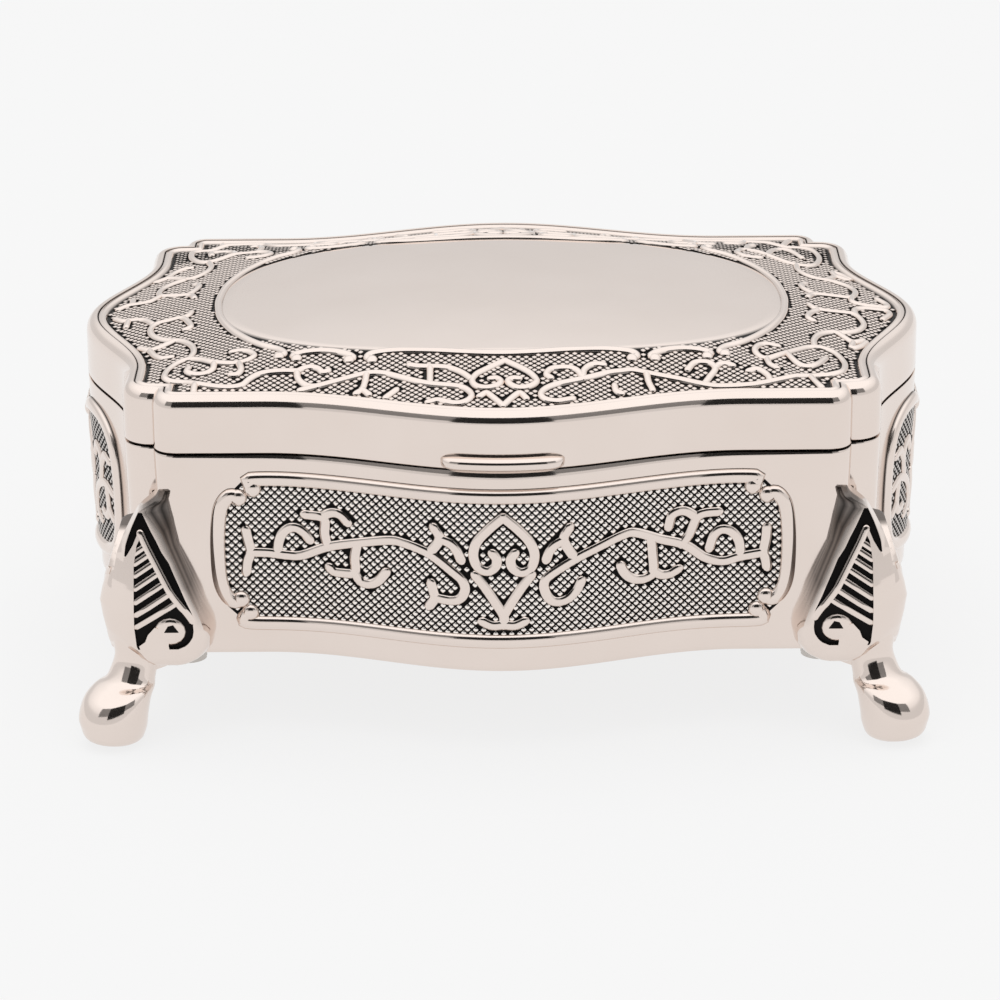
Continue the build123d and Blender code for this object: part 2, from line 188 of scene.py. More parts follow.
def bulge(along, half_length, flat, crest):
    """Distance of a serpentine wall from the middle of the box, at a place along the wall."""
    share = np.minimum(np.abs(along) / half_length, 1.0)
    return flat + (crest - flat) * (1 + np.cos(math.pi * share)) / 2


def front_out(x):
    return bulge(x, FRONT_BULGE_HALF, FRONT_Y, FRONT_BULGE_Y)


def side_out(y):
    return bulge(y, SIDE_BULGE_HALF, EAR_X, SIDE_BULGE_X)


def arc(start, stop, steps):
    """Points on a circle of radius 1, anticlockwise between two angles."""
    turn = np.linspace(start, stop, steps)
    return np.column_stack([np.cos(turn), np.sin(turn)])


def circle(steps):
    """Points all round a circle of radius 1, anticlockwise."""
    return arc(0, 2 * math.pi, steps + 1)[:-1]


def level(flat, z):
    """Places in plan at one height, or at a height for each of them."""
    return np.column_stack([flat, np.broadcast_to(z, len(flat))])


def quarter_plan():
    """Outline from the middle of a side round the corner to the middle of the front."""
    side_y = np.linspace(0, SIDE_BULGE_HALF, 33)
    front_x = np.linspace(FRONT_BULGE_HALF, 0, 41)
    ear_middle = np.array((EAR_X - EAR_ROUND, EAR_Y - EAR_ROUND))
    front_middle = np.array((CREASE_X - FRONT_ROUND, FRONT_Y - FRONT_ROUND))
    return np.concatenate(
        [
            np.column_stack([side_out(side_y), side_y]),
            [(EAR_X, (SIDE_BULGE_HALF + EAR_Y - EAR_ROUND) / 2)],
            ear_middle + EAR_ROUND * arc(0, math.pi / 2, 13),
            front_middle + FRONT_ROUND * arc(0, math.pi / 2, 11),
            [(x, FRONT_Y) for x in FRONT_FLAT_X],
            np.column_stack([front_x, front_out(front_x)]),
        ]
    )


def whole_plan():
    """The closed outline, anticlockwise, and at each point the way straight out of both walls beside it."""
    quarter = quarter_plan()
    half = np.concatenate([quarter, quarter[-2::-1] * (-1, 1)])
    loop = np.concatenate([half, half[-2:0:-1] * (1, -1)])
    ahead = np.roll(loop, -1, axis=0) - loop
    ahead /= np.linalg.norm(ahead, axis=1)[:, None]
    normal_after = np.column_stack([ahead[:, 1], -ahead[:, 0]])
    normal_before = np.roll(normal_after, 1, axis=0)
    mitre = normal_after + normal_before
    mitre /= 1 + np.sum(normal_after * normal_before, axis=1)[:, None]
    return loop, mitre


PLAN, MITRE = whole_plan()


def plan_ring(inset):
    """The outline moved inward by one distance, or by a distance for each of its points."""
    return PLAN - np.reshape(inset, (-1, 1)) * MITRE


FIELD_EDGE = plan_ring(RIM_WIDTH)
FIELD_EDGE_ANGLE = np.arctan2(FIELD_EDGE[:, 1], FIELD_EDGE[:, 0]) % (2 * math.pi)
FIELD_EDGE_REACH = np.linalg.norm(FIELD_EDGE, axis=1)


def draft(z):
    """How far the base wall has drawn in at a height."""
    return BASE_DRAFT * (BASE_TOP_Z - z) / (BASE_TOP_Z - BASE_BOTTOM_Z)


def upright(z):
    """The lid wall has no draft."""
    return 0 * z


def oval_reach(angle):
    along = np.abs(np.cos(angle) / OVAL_X) ** OVAL_POWER
    across = np.abs(np.sin(angle) / OVAL_Y) ** OVAL_POWER
    return (along + across) ** (-1 / OVAL_POWER)


def field_share(x, y):
    """0 at the rim of the lid, 1 at the oval."""
    angle = np.arctan2(y, x) % (2 * math.pi)
    outer = np.interp(angle, FIELD_EDGE_ANGLE, FIELD_EDGE_REACH, period=2 * math.pi)
    inner = oval_reach(angle)
    return (outer - np.hypot(x, y)) / (outer - inner)


def oval_edge_height(angle):
    return OVAL_EDGE_Z - OVAL_SIDE_DROP * (oval_reach(angle) * np.cos(angle) / OVAL_X) ** 2


# Places on a surface, each taking two coordinates along it and a height above it.
# Seen from outside, the first runs right, the second runs up, and the surface faces the viewer.

def on_lid(u, v, rise):
    share = np.clip(field_share(u, v), 0, 1)
    edge = oval_edge_height(np.arctan2(v, u))
    return np.stack([u, v, FIELD_Z + (edge - FIELD_Z) * share + rise], axis=-1)


def wall_place(out, lean, half_step=0.05):
    """A surface on the wall whose plan is y = -out(x), facing -Y."""

    def place(u, v, rise):
        slope = (out(u + half_step) - out(u - half_step)) / (2 * half_step)
        length = np.hypot(1, slope)
        away = rise - lean(v)
        return np.stack([u - slope / length * away, -out(u) - away / length, v + 0 * u], axis=-1)

    return place


def turned(place, quarter_turns):
    """The same surface, turned anticlockwise about Z."""
    cos_turn = round(math.cos(quarter_turns * math.pi / 2))
    sin_turn = round(math.sin(quarter_turns * math.pi / 2))
    matrix = np.array([[cos_turn, sin_turn, 0], [-sin_turn, cos_turn, 0], [0, 0, 1]])

    def place_turned(u, v, rise):
        return place(u, v, rise) @ matrix

    return place_turned


on_front = wall_place(front_out, draft)
on_right = turned(wall_place(side_out, draft), 1)
on_back = turned(on_front, 2)
on_left = turned(wall_place(side_out, draft), 3)
on_lid_front = wall_place(front_out, upright)


# Edges that bend further than this many degrees are shaded sharp
SHARP = 35
BEAD_SHARP = 60


def new_mesh(name, points, faces):
    """A mesh from points in millimetres."""
    mesh = bpy.data.meshes.new(name)
    mesh.from_pydata((np.array(points) * MM).tolist(), [], faces)
    return mesh


def in_scene(name, data):
    """A new object in the scene, from its mesh, lamp or camera."""
    made = bpy.data.objects.new(name, data)
    bpy.context.scene.collection.objects.link(made)
    return made


def shade(mesh, sharp):
    mesh.shade_smooth()
    mesh.set_sharp_from_angle(angle=math.radians(sharp))


class Shape:
    """The points and faces of one piece while it is made. Dark is the patina and painted shade at each point,
    from 0 to 1.
    """

    def __init__(self):
        self.points = []
        self.dark = []
        self.faces = []
        self.count = 0

    def add(self, points, faces, dark=0.0):
        self.points.append(points)
        self.dark.append(np.broadcast_to(dark, (len(points),)))
        self.faces += [[corner + self.count for corner in face] for face in faces]
        self.count += len(points)

    def add_copy(self, other, change, flip):
        """Everything in another shape, with its points moved. A reflection turns the faces over."""
        faces = [face[::-1] if flip else face for face in other.faces]
        self.add(change(np.concatenate(other.points)), faces, np.concatenate(other.dark))

    def mesh(self, name):
        return new_mesh(name, np.concatenate(self.points), self.faces)

    def piece(self, name, body, material, sharp=SHARP):
        mesh = self.mesh(name)
        # This attribute holds patina in the hollows, and painted shade on the seam, the leg wings and some
        # bead tops
        patina_and_shade = mesh.attributes.new("patina_and_shade", "FLOAT", "POINT")
        patina_and_shade.data.foreach_set("value", np.concatenate(self.dark).astype(np.float32))
        shade(mesh, sharp)
        mesh.materials.append(material)
        made = in_scene(name, mesh)
        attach(made, body)
        return made


def ring_faces(rings, around, closed=True, flip=False):
    """Quads between rings of points that follow each other in one list."""
    faces = []
    last = around if closed else around - 1
    for ring in range(rings - 1):
        for corner in range(last):
            after = (corner + 1) % around
            low = ring * around
            face = [low + corner, low + after, low + around + after, low + around + corner]
            faces.append(face[::-1] if flip else face)
    return faces


def closed_rings(shape, rings, dark=0.0, last_capped=True):
    """A closed skin through rings of points that run anticlockwise seen from where the last ring lies."""
    around = len(rings[0])
    last = (len(rings) - 1) * around
    faces = ring_faces(len(rings), around)
    faces.append(list(range(around))[::-1])
    if last_capped:
        faces.append(list(range(last, last + around)))
    shape.add(np.concatenate(rings), faces, dark)


def smooth_path(points, step=STROKE_STEP):
    """A curve through given points, sampled at even steps."""
    points = np.array(points, float)
    if len(points) == 2:
        fine = points
    else:
        ends = np.concatenate([[2 * points[0] - points[1]], points, [2 * points[-1] - points[-2]]])
        share = np.linspace(0, 1, CURVE_STEPS, endpoint=False)[:, None]
        parts = []
        for a, b, c, d in zip(ends[:-3], ends[1:-2], ends[2:-1], ends[3:]):
            parts.append(
                b
                + share * (c - a) / 2
                + share**2 * (a - 2.5 * b + 2 * c - d / 2)
                + share**3 * (1.5 * b - 1.5 * c + d / 2 - a / 2)
            )
        fine = np.concatenate(parts + [points[-1:]])
    reach = np.concatenate([[0], np.cumsum(np.linalg.norm(np.diff(fine, axis=0), axis=1))])
    steps = max(int(reach[-1] / step), 2)
    at = np.linspace(0, reach[-1], steps + 1)
    return np.stack([np.interp(at, reach, fine[:, axis]) for axis in range(fine.shape[1])], axis=1)


SECTION_STEPS = 8
SINK = 0.2
CAP_TURN = np.radians([85, 60, 35])


def stroke(shape, path, place, width, rise=VINE_RISE, dark_foot=0.35, fullness=1.0):
    """A strand of metal raised along a path, with round ends. A fullness under 1 makes its top flatter."""
    line = smooth_path(path)
    ahead = np.gradient(line, axis=0)
    ahead /= np.linalg.norm(ahead, axis=1)[:, None]
    cap_out = np.sin(CAP_TURN)[:, None] * width / 2
    centres = np.concatenate([line[0] - cap_out * ahead[0], line, line[-1] + cap_out[::-1] * ahead[-1]])
    ahead = np.pad(ahead, ((len(CAP_TURN), len(CAP_TURN)), (0, 0)), "edge")
    narrow = np.concatenate([np.cos(CAP_TURN), np.ones(len(line)), np.cos(CAP_TURN[::-1])])
    across = np.column_stack([-ahead[:, 1], ahead[:, 0]])
    turn = np.linspace(0, math.pi, SECTION_STEPS + 1)
    side = np.concatenate([[-1], -np.cos(turn), [1]])
    high = np.concatenate([[0], np.clip(np.sin(turn), 0, 1) ** fullness, [0]])
    sunk = np.concatenate([[SINK], np.zeros(SECTION_STEPS + 1), [SINK]])
    spread = centres[:, None] + across[:, None] * (side[None, :, None] * narrow[:, None, None] * width / 2)
    rises = high[None, :] * np.sqrt(narrow)[:, None] * rise - sunk[None, :]
    places = place(spread[..., 0].ravel(), spread[..., 1].ravel(), rises.ravel())
    around = SECTION_STEPS + 3
    dark = np.clip(1 - rises.ravel() / (dark_foot * rise), 0, 1)
    first = list(range(around))
    last = [corner + (len(centres) - 1) * around for corner in first]
    shape.add(places, ring_faces(len(centres), around, flip=True) + [first, last[::-1]], dark)
    return line


# Each ring of a knob: its reach as a share of the radius, its height as a share of the rise, and its patina
KNOB_RINGS = ((1.0, 0.1, 1.0), (0.92, 0.45, 0.0), (0.7, 0.75, 0.0), (0.4, 0.95, 0.0), (0.12, 1.0, 0.0))
KNOB_STEPS = 16


def knob(shape, centre, radius, rise, place):
    """A small dome, sunk a little into the surface."""
    shares, heights, patina_and_shade = zip(*KNOB_RINGS)
    rings = []
    for share, z in zip((1.0, *shares), (-SINK, *np.multiply(heights, rise))):
        spread = np.array(centre) + circle(KNOB_STEPS) * share * radius
        rings.append(place(*spread.T, np.full(KNOB_STEPS, z)))
    closed_rings(shape, rings, np.repeat((1.0, *patina_and_shade), KNOB_STEPS))


def plate(shape, outline, place, rise, dark=0.0):
    """A flat sided island on a surface, from a closed outline that runs anticlockwise."""
    flat = np.array(outline, float)
    closed_rings(shape, [place(*flat.T, np.full(len(flat), z)) for z in (-SINK, rise)], dark)


def block(low, high):
    """A box between two opposite corners."""
    shape = Shape()
    corners = [(low[0], low[1]), (high[0], low[1]), (high[0], high[1]), (low[0], high[1])]
    closed_rings(shape, [level(corners, z) for z in (low[2], high[2])])
    return shape


def bead_centres(u_half, v_low, v_high):
    """Staggered rows of places for the diamond beads."""
    half_count = math.ceil(u_half / BEAD_PITCH)
    columns = np.arange(-half_count, half_count + 1) * BEAD_PITCH
    rows = []
    for row, v in enumerate(np.arange(v_low, v_high, BEAD_PITCH / 2)):
        rows.append(np.column_stack([columns + row % 2 * BEAD_PITCH / 2, np.full_like(columns, v)]))
    return np.concatenate(rows)


def clear_of(centres, lines, gap, batch=500):
    """The places that are further than a gap from every point of every line."""
    marks = np.concatenate(lines)
    kept = []
    for part in np.array_split(centres, math.ceil(len(centres) / batch)):
        nearest = np.min(np.linalg.norm(part[:, None] - marks[None], axis=2), axis=1)
        kept.append(part[nearest > gap])
    return np.concatenate(kept)


# Each ring of a bead: its reach as a share of the pitch, its height and its patina; on the tops of some beads
# this dark is painted shade
WALL_BEAD = ((0.47, -0.05, 1.0), (0.36, 0.16, 1.0), (0.315, 0.23, 0.0))
LID_BEAD = ((0.46, -0.05, 1.0), (0.38, 0.14, 1.0), (0.28, 0.24, 0.05))
# Beads of the lid's back strip: their tops are a third dark with painted shade
LID_BACK_SHADED_BEAD = ((0.44, -0.05, 1.0), (0.34, 0.18, 1.0), (0.20, 0.24, 0.35))
LID_SHADED_BEADS_FROM_Y = 24.0
# Beads of the side walls: their tops are a third dark with painted shade
SIDE_SHADED_BEAD = ((0.44, -0.05, 1.0), (0.34, 0.12, 1.0), (0.22, 0.22, 0.35))
BEAD_CROWN = 0.05
BEAD_STEPS = 8
BEAD_FLAT_REACH = 0.8


def beads(shape, centres, place, bead_rings):
    """A small rounded pyramid, turned 45 degrees, at every centre."""
    shares, heights, patina_and_shade = zip(*bead_rings)
    ring = circle(BEAD_STEPS)
    ring[1::2] *= BEAD_FLAT_REACH
    flat = np.concatenate([ring * share * BEAD_PITCH for share in shares] + [[(0, 0)]])
    rise = np.append(np.repeat(heights, BEAD_STEPS), heights[-1] + BEAD_CROWN)
    dark = np.append(np.repeat(patina_and_shade, BEAD_STEPS), 0.0)
    spread = centres[:, None] + flat[None]
    rises = np.broadcast_to(rise, spread.shape[:2])
    points = place(spread[..., 0].ravel(), spread[..., 1].ravel(), rises.ravel())
    one = ring_faces(len(bead_rings), BEAD_STEPS)
    tip = len(flat) - 1
    top = tip - BEAD_STEPS
    one += [[top + corner, top + (corner + 1) % BEAD_STEPS, tip] for corner in range(BEAD_STEPS)]
    one.append(list(range(BEAD_STEPS))[::-1])
    faces = [[corner + bead * len(flat) for corner in face] for bead in range(len(centres)) for face in one]
    shape.add(points, faces, np.tile(dark, len(centres)))


# Materials
SILVER_LIGHT = (0.83, 0.735, 0.68)
SILVER_SHADE = (0.78, 0.68, 0.62)
# Lighter silver for the lattice: burnished high points, with a painted highlight on them as well
HIGHLIT_BURNISHED_LIGHT = (0.97, 0.91, 0.87)
HIGHLIT_BURNISHED_DIM = (0.93, 0.87, 0.82)
SILVER_ROUGHNESS = 0.09
# Black of the patina, also used for the painted shade
PATINA_AND_SHADE_COLOUR = (0.012, 0.011, 0.011)
PATINA_ROUGHNESS = 0.5
STEEL_LIGHT = (0.66, 0.63, 0.60)
STEEL_TARNISH = (0.48, 0.44, 0.40)
STEEL_ROUGHNESS = (0.2, 0.42)
BRUSHED_ALONG_X = (0.06, 1, 1)
VELVET_DARK = (0.15, 0.016, 0.034)
VELVET_LIGHT = (0.27, 0.04, 0.075)
VELVET_NAP = (0.19, 0.024, 0.05)
VELVET_SHEEN = (0.55, 0.16, 0.22, 1)
PILE_ALONG_X = (1, 0.5, 0.5)


def node_material(name):
    made = bpy.data.materials.new(name)
    made.use_nodes = True
    return made, made.node_tree.nodes, made.node_tree.links


def set_inputs(node, values):
    for name, value in values.items():
        node.inputs[name].default_value = value


def object_noise(nodes, links, scale, detail, stretch=(1, 1, 1)):
    """Noise over the object's own coordinates."""
    place = nodes.new("ShaderNodeTexCoord")
    fit = nodes.new("ShaderNodeMapping")
    noise = nodes.new("ShaderNodeTexNoise")
    set_inputs(fit, {"Scale": stretch})
    set_inputs(noise, {"Scale": scale, "Detail": detail})
    links.new(place.outputs["Object"], fit.inputs["Vector"])
    links.new(fit.outputs["Vector"], noise.inputs["Vector"])
    return noise.outputs["Fac"]


def colour_mix(nodes, links, factor, first, second):
    """A mix of two colours, either of which may be a socket."""
    mix = nodes.new("ShaderNodeMix")
    mix.data_type = "RGBA"
    links.new(factor, mix.inputs["Factor"])
    for name, value in (("A", first), ("B", second)):
        if isinstance(value, tuple):
            mix.inputs[name].default_value = (*value, 1)
        else:
            links.new(value, mix.inputs[name])
    return mix.outputs["Result"]


def value_range(nodes, links, value, low, high, from_low=0.0, from_high=1.0):
    """A value fitted to a range, and held inside it."""
    fit = nodes.new("ShaderNodeMapRange")
    set_inputs(fit, {"From Min": from_low, "From Max": from_high, "To Min": low, "To Max": high})
    links.new(value, fit.inputs["Value"])
    return fit.outputs["Result"]


def bump(nodes, links, height, strength, distance):
    """Fine relief on the material's shader. The distance is in metres."""
    relief = nodes.new("ShaderNodeBump")
    set_inputs(relief, {"Strength": strength, "Distance": distance})
    links.new(height, relief.inputs["Height"])
    links.new(relief.outputs["Normal"], nodes["Principled BSDF"].inputs["Normal"])


def silver_material(name, all_dark=0.0, light=SILVER_LIGHT, dim=SILVER_SHADE):
    """Warm silver plate. All_dark is the least patina, from 0 to 1."""
    made, nodes, links = node_material(name)
    shader = nodes["Principled BSDF"]
    set_inputs(shader, {"Metallic": 1.0})
    # The dark attribute read here holds patina and painted shade
    patina_and_shade = nodes.new("ShaderNodeAttribute")
    patina_and_shade.attribute_name = "patina_and_shade"
    dark = nodes.new("ShaderNodeMath")
    dark.operation = "MAXIMUM"
    dark.inputs[1].default_value = all_dark
    links.new(patina_and_shade.outputs["Fac"], dark.inputs[0])
    cloud = object_noise(nodes, links, scale=90.0, detail=4.0)
    warm = colour_mix(nodes, links, cloud, light, dim)
    roughness = value_range(nodes, links, dark.outputs[0], SILVER_ROUGHNESS, PATINA_ROUGHNESS)
    links.new(colour_mix(nodes, links, dark.outputs[0], warm, PATINA_AND_SHADE_COLOUR), shader.inputs["Base Color"])
    links.new(roughness, shader.inputs["Roughness"])
    return made


def hinge_material():
    """Satin steel with fine brushing along X and light tarnish."""
    made, nodes, links = node_material("hinge_metal")
    shader = nodes["Principled BSDF"]
    set_inputs(shader, {"Metallic": 1.0})
    brushed = object_noise(nodes, links, scale=1500.0, detail=3.0, stretch=BRUSHED_ALONG_X)
    tarnish = object_noise(nodes, links, scale=260.0, detail=5.0)
    links.new(colour_mix(nodes, links, tarnish, STEEL_LIGHT, STEEL_TARNISH), shader.inputs["Base Color"])
    links.new(value_range(nodes, links, brushed, *STEEL_ROUGHNESS), shader.inputs["Roughness"])
    bump(nodes, links, brushed, strength=0.15, distance=0.00005)
    return made


def velvet_material():
    """Short pile velvet: soft blotches where the pile lies another way, and a fine nap."""
    made, nodes, links = node_material("velvet")
    shader = nodes["Principled BSDF"]
    set_inputs(shader, {"Roughness": 0.95, "Sheen Weight": 0.6, "Sheen Roughness": 0.4})
    set_inputs(shader, {"Sheen Tint": VELVET_SHEEN})
    brushed = object_noise(nodes, links, scale=120.0, detail=3.0, stretch=PILE_ALONG_X)
    nap = object_noise(nodes, links, scale=2600.0, detail=2.0)
    blotch = colour_mix(nodes, links, brushed, VELVET_DARK, VELVET_LIGHT)
    links.new(colour_mix(nodes, links, nap, blotch, VELVET_NAP), shader.inputs["Base Color"])
    bump(nodes, links, nap, strength=0.5, distance=0.00012)
    return made


SILVER = silver_material("silver_plate")
GROUND = silver_material("silver_patina", 1.0)
# The wall lattice's silver, lighter for burnishing and for a painted highlight
HIGHLIT_BURNISHED = silver_material("silver_burnished_and_highlit", 0.0, HIGHLIT_BURNISHED_LIGHT, HIGHLIT_BURNISHED_DIM)
HINGE_METAL = hinge_material()
VELVET = velvet_material()


# Shells of the base and the lid

def shell(shape, rings, last_capped=True):
    """A skin through rings of (inset, height, dark), closed at the first ring."""
    insets, heights, patina_and_shade = zip(*rings)
    points = [level(plan_ring(inset), z) for inset, z in zip(insets, heights)]
    closed_rings(shape, points, np.repeat(patina_and_shade, len(PLAN)), last_capped)


def round_edge(centre_inset, centre_z, radius, start, stop, steps):
    """Part of a round edge in a wall's section. 0 degrees is straight out, 90 is up and 180 is inward."""
    turn = radius * arc(math.radians(start), math.radians(stop), steps)
    return [(centre_inset - out, centre_z + up, 0) for out, up in turn]


def base_rings():
    """The base's section, from the foot of the outside over the top edge to the floor inside."""
    foot_z = BASE_BOTTOM_Z + BASE_FOOT_ROUND
    rings = [(draft(BASE_BOTTOM_Z) + BASE_FOOT_ROUND, BASE_BOTTOM_Z, 0)]
    rings += round_edge(draft(foot_z) + BASE_FOOT_ROUND, foot_z, BASE_FOOT_ROUND, start=-75, stop=0, steps=5)
    rings += [(draft(z), z, 0) for z in BASE_WALL_LEVELS]
    middle_share = np.clip(1 - np.abs(PLAN[:, 0]) / EAR_X, 0, 1)
    radius = TOP_EDGE_CORNER + (TOP_EDGE_MIDDLE - TOP_EDGE_CORNER) * middle_share
    for angle in np.linspace(0, TOP_EDGE_TURN, 8):
        height = BASE_TOP_Z - radius * (math.sin(TOP_EDGE_TURN) - math.sin(angle))
        rings.append((draft(height) + radius * (1 - math.cos(angle)), height, 0))
    # Painted shadow: a ring on the top edge, 0.6 dark, darkens the seam under the lid
    rings += [(SEAM_SHADOW_INSET, BASE_TOP_Z, 0.6)]
    rings += [(WALL - BASE_INNER_CUT, BASE_TOP_Z, 0), (WALL, BASE_TOP_Z - BASE_INNER_CUT, 0)]
    rings += [(WALL + draft(BASE_FLOOR_Z), BASE_FLOOR_Z, 0)]
    return rings


def lid_wall_rings():
    """The lid's section, from the inside under the bottom edge and over the double rim to the field."""
    rings = [(WALL, LID_UNDERSIDE_Z, 0), (WALL, LID_BOTTOM_Z + LID_INNER_CUT, 0)]
    rings += [(WALL - LID_INNER_CUT, LID_BOTTOM_Z, 0)]
    edge_z = LID_BOTTOM_Z + LID_EDGE_ROUND
    rings += round_edge(LID_EDGE_ROUND, edge_z, LID_EDGE_ROUND, start=-90, stop=0, steps=4)
    rings += [(0, z, 0) for z in LID_WALL_LEVELS]
    for angle in np.radians(np.linspace(0, 90, 12)):
        inset = RIM_ROUND_IN * (1 - math.cos(angle))
        rings.append((inset, RIM_TOP_Z - RIM_ROUND_DOWN * (1 - math.sin(angle)), 0))
    rings += RIM_GROOVE
    rings += round_edge(*INNER_RIM, start=40, stop=150, steps=6)
    rings += [INNER_RIM_FOOT, (RIM_WIDTH, FIELD_Z, 1)]
    return rings


def lid_top(shape):
    """The lattice ground and the smooth oval, as rings that go on inward from the rim."""
    around = len(PLAN)
    angle = np.arctan2(FIELD_EDGE[:, 1], FIELD_EDGE[:, 0])
    reach = oval_reach(angle)
    oval_edge = np.column_stack([reach * np.cos(angle), reach * np.sin(angle)])
    edge_z = oval_edge_height(angle)
    rows = []
    for share in FIELD_SHARES:
        flat = FIELD_EDGE + (oval_edge - FIELD_EDGE) * share
        rows.append(level(flat, FIELD_Z + (edge_z - FIELD_Z) * share))
    for share in OVAL_SHARES:
        step_z = edge_z + OVAL_STEP
        rows.append(level(oval_edge * share, step_z + (CROWN_Z - step_z) * (1 - share**2)))
    faces = [[corner - around for corner in face] for face in ring_faces(len(rows) + 1, around)]
    last = (len(rows) - 1) * around
    faces.append(list(range(last, last + around)))
    dark = np.repeat([1.0] * len(FIELD_SHARES) + [0.0] * len(OVAL_SHARES), around)
    shape.add(np.concatenate(rows), faces, dark)


def carved(made, cutters):
    """Joins or cuts other shapes into a piece, exactly."""
    for operation, cutter in cutters:
        tool = in_scene("cutter", cutter.mesh("cutter"))
        step = made.modifiers.new("carve", "BOOLEAN")
        step.operation = operation
        step.solver = "EXACT"
        step.object = tool
        result = bpy.data.meshes.new_from_object(made.evaluated_get(bpy.context.evaluated_depsgraph_get()))
        made.modifiers.clear()
        made.data = result
        bpy.data.objects.remove(tool)
    shade(made.data, SHARP)


def thumb_lip():
    """The rounded ledge at the front that the thumb lifts, with long tapered ends."""
    shape = Shape()
    middle_z = (LIP_BOTTOM_Z + LIP_TOP_Z) / 2
    half_height = (LIP_TOP_Z - LIP_BOTTOM_Z) / 2
    turn = np.linspace(-math.pi / 2, math.pi / 2, 13)
    out = np.concatenate([[-LIP_SINK], LIP_PROUD * np.cos(turn) ** 0.7, [-LIP_SINK]])
    up = np.concatenate([[-1], np.sin(turn), [1]])
    rings = []
    for u in np.linspace(-LIP_HALF, LIP_HALF, 65):
        end_share = np.clip((abs(u) - LIP_HALF + LIP_END) / LIP_END, 0, 1)
        full = math.sqrt(1.01 - end_share**2.4)
        grown = np.where(out > 0, out * full, out)
        height = middle_z + up * half_height * (LIP_END_SHARE + (1 - LIP_END_SHARE) * full)
        rings.append(on_lid_front(np.full(len(out), u), height, grown))
    closed_rings(shape, rings)
    return shape


def hinge_room(pad_low_z, pad_high_z, notch_z, slot_z):
    """The pad joined on for the hinge's screws, and the notch and slot cut for its knuckles and leaf."""
    pad = block((-PAD_HALF, PAD_INNER_Y, pad_low_z), (PAD_HALF, PAD_OUTER_Y, pad_high_z))
    notch = block((-NOTCH_HALF, NOTCH_INNER_Y, notch_z[0]), (NOTCH_HALF, NOTCH_OUTER_Y, notch_z[1]))
    slot = block((-SLOT_HALF, SLOT_INNER_Y, slot_z[0]), (SLOT_HALF, SLOT_OUTER_Y, slot_z[1]))
    return [("UNION", pad)], [("DIFFERENCE", notch), ("DIFFERENCE", slot)]


def lid_shell():
    shape = Shape()
    shell(shape, lid_wall_rings(), last_capped=False)
    lid_top(shape)
    made = shape.piece("lid_casting", "lid", SILVER)
    pad_top_z = LID_UNDERSIDE_Z + SINK
    joined, cut = hinge_room(LID_BOTTOM_Z, pad_top_z, (CUT_LOW_Z, NOTCH_TOP_Z), (CUT_LOW_Z, SLOT_TOP_Z))
    carved(made, joined + [("UNION", thumb_lip())] + cut)
    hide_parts("lid_shell")


def base_shell():
    shape = Shape()
    shell(shape, base_rings())
    made = shape.piece("base_casting", "base", SILVER)
    notch_z = (NOTCH_BOTTOM_Z, CUT_HIGH_Z)
    joined, cut = hinge_room(BASE_PAD_BOTTOM_Z, BASE_TOP_Z, notch_z, (SLOT_BOTTOM_Z, CUT_HIGH_Z))
    carved(made, joined + cut)
    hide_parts("base_body")


def mirrored_u(strokes):
    return tuple([(-u, v) for u, v in path] for path in strokes)


def mirrored_v(strokes):
    return tuple([(u, -v) for u, v in path] for path in strokes)


def whole(path):
    """A stroke across the middle, from the half of it that ends there."""
    return path + [(-u, v) for u, v in path[-2::-1]]


# Ornament of the front and back walls, as X and Z
FRONT_FRAME_END = (
    [(-36.4, 35.2), (-37.6, 35.4), (-38.7, 34.0), (-39.2, 31.5), (-39.4, 27.5), (-39.2, 23.0),
     (-38.4, 20.6), (-37.2, 19.6), (-36.4, 20.0)],
)
FRONT_FRAME = (
    whole([(-34.4, 36.5), (-34.8, 37.4), (-33.6, 37.9), (-20, 37.8), (0, 37.8)]),
    *FRONT_FRAME_END,
    *mirrored_u(FRONT_FRAME_END),
    whole([(-35.2, 18.0), (-36.0, 17.2), (-34.4, 16.4), (-20, 16.4), (0, 16.4)]),
)
HEART = (
    [(0, 34.9), (-1.9, 33.2), (-3.6, 31.2), (-4.1, 29.2), (-3.5, 27.5), (-2.2, 26.9), (-1.1, 27.6),
     (-0.9, 28.7), (-1.5, 29.6)],
    [(0, 34.9), (1.9, 33.2), (3.6, 31.2), (4.3, 29.2), (3.8, 27.3), (2.5, 26.7), (1.3, 27.4), (1.0, 28.6),
     (1.6, 29.6)],
    [(-3.9, 26.3), (-2.6, 24.6), (-1.2, 22.4), (0, 20.3), (0, 18.9)],
    [(3.9, 26.3), (2.6, 24.6), (1.2, 22.4), (0, 20.3)],
    [(-3.0, 19.4), (-1.6, 18.8), (0, 18.9), (1.6, 18.8), (3.0, 19.4)],
)
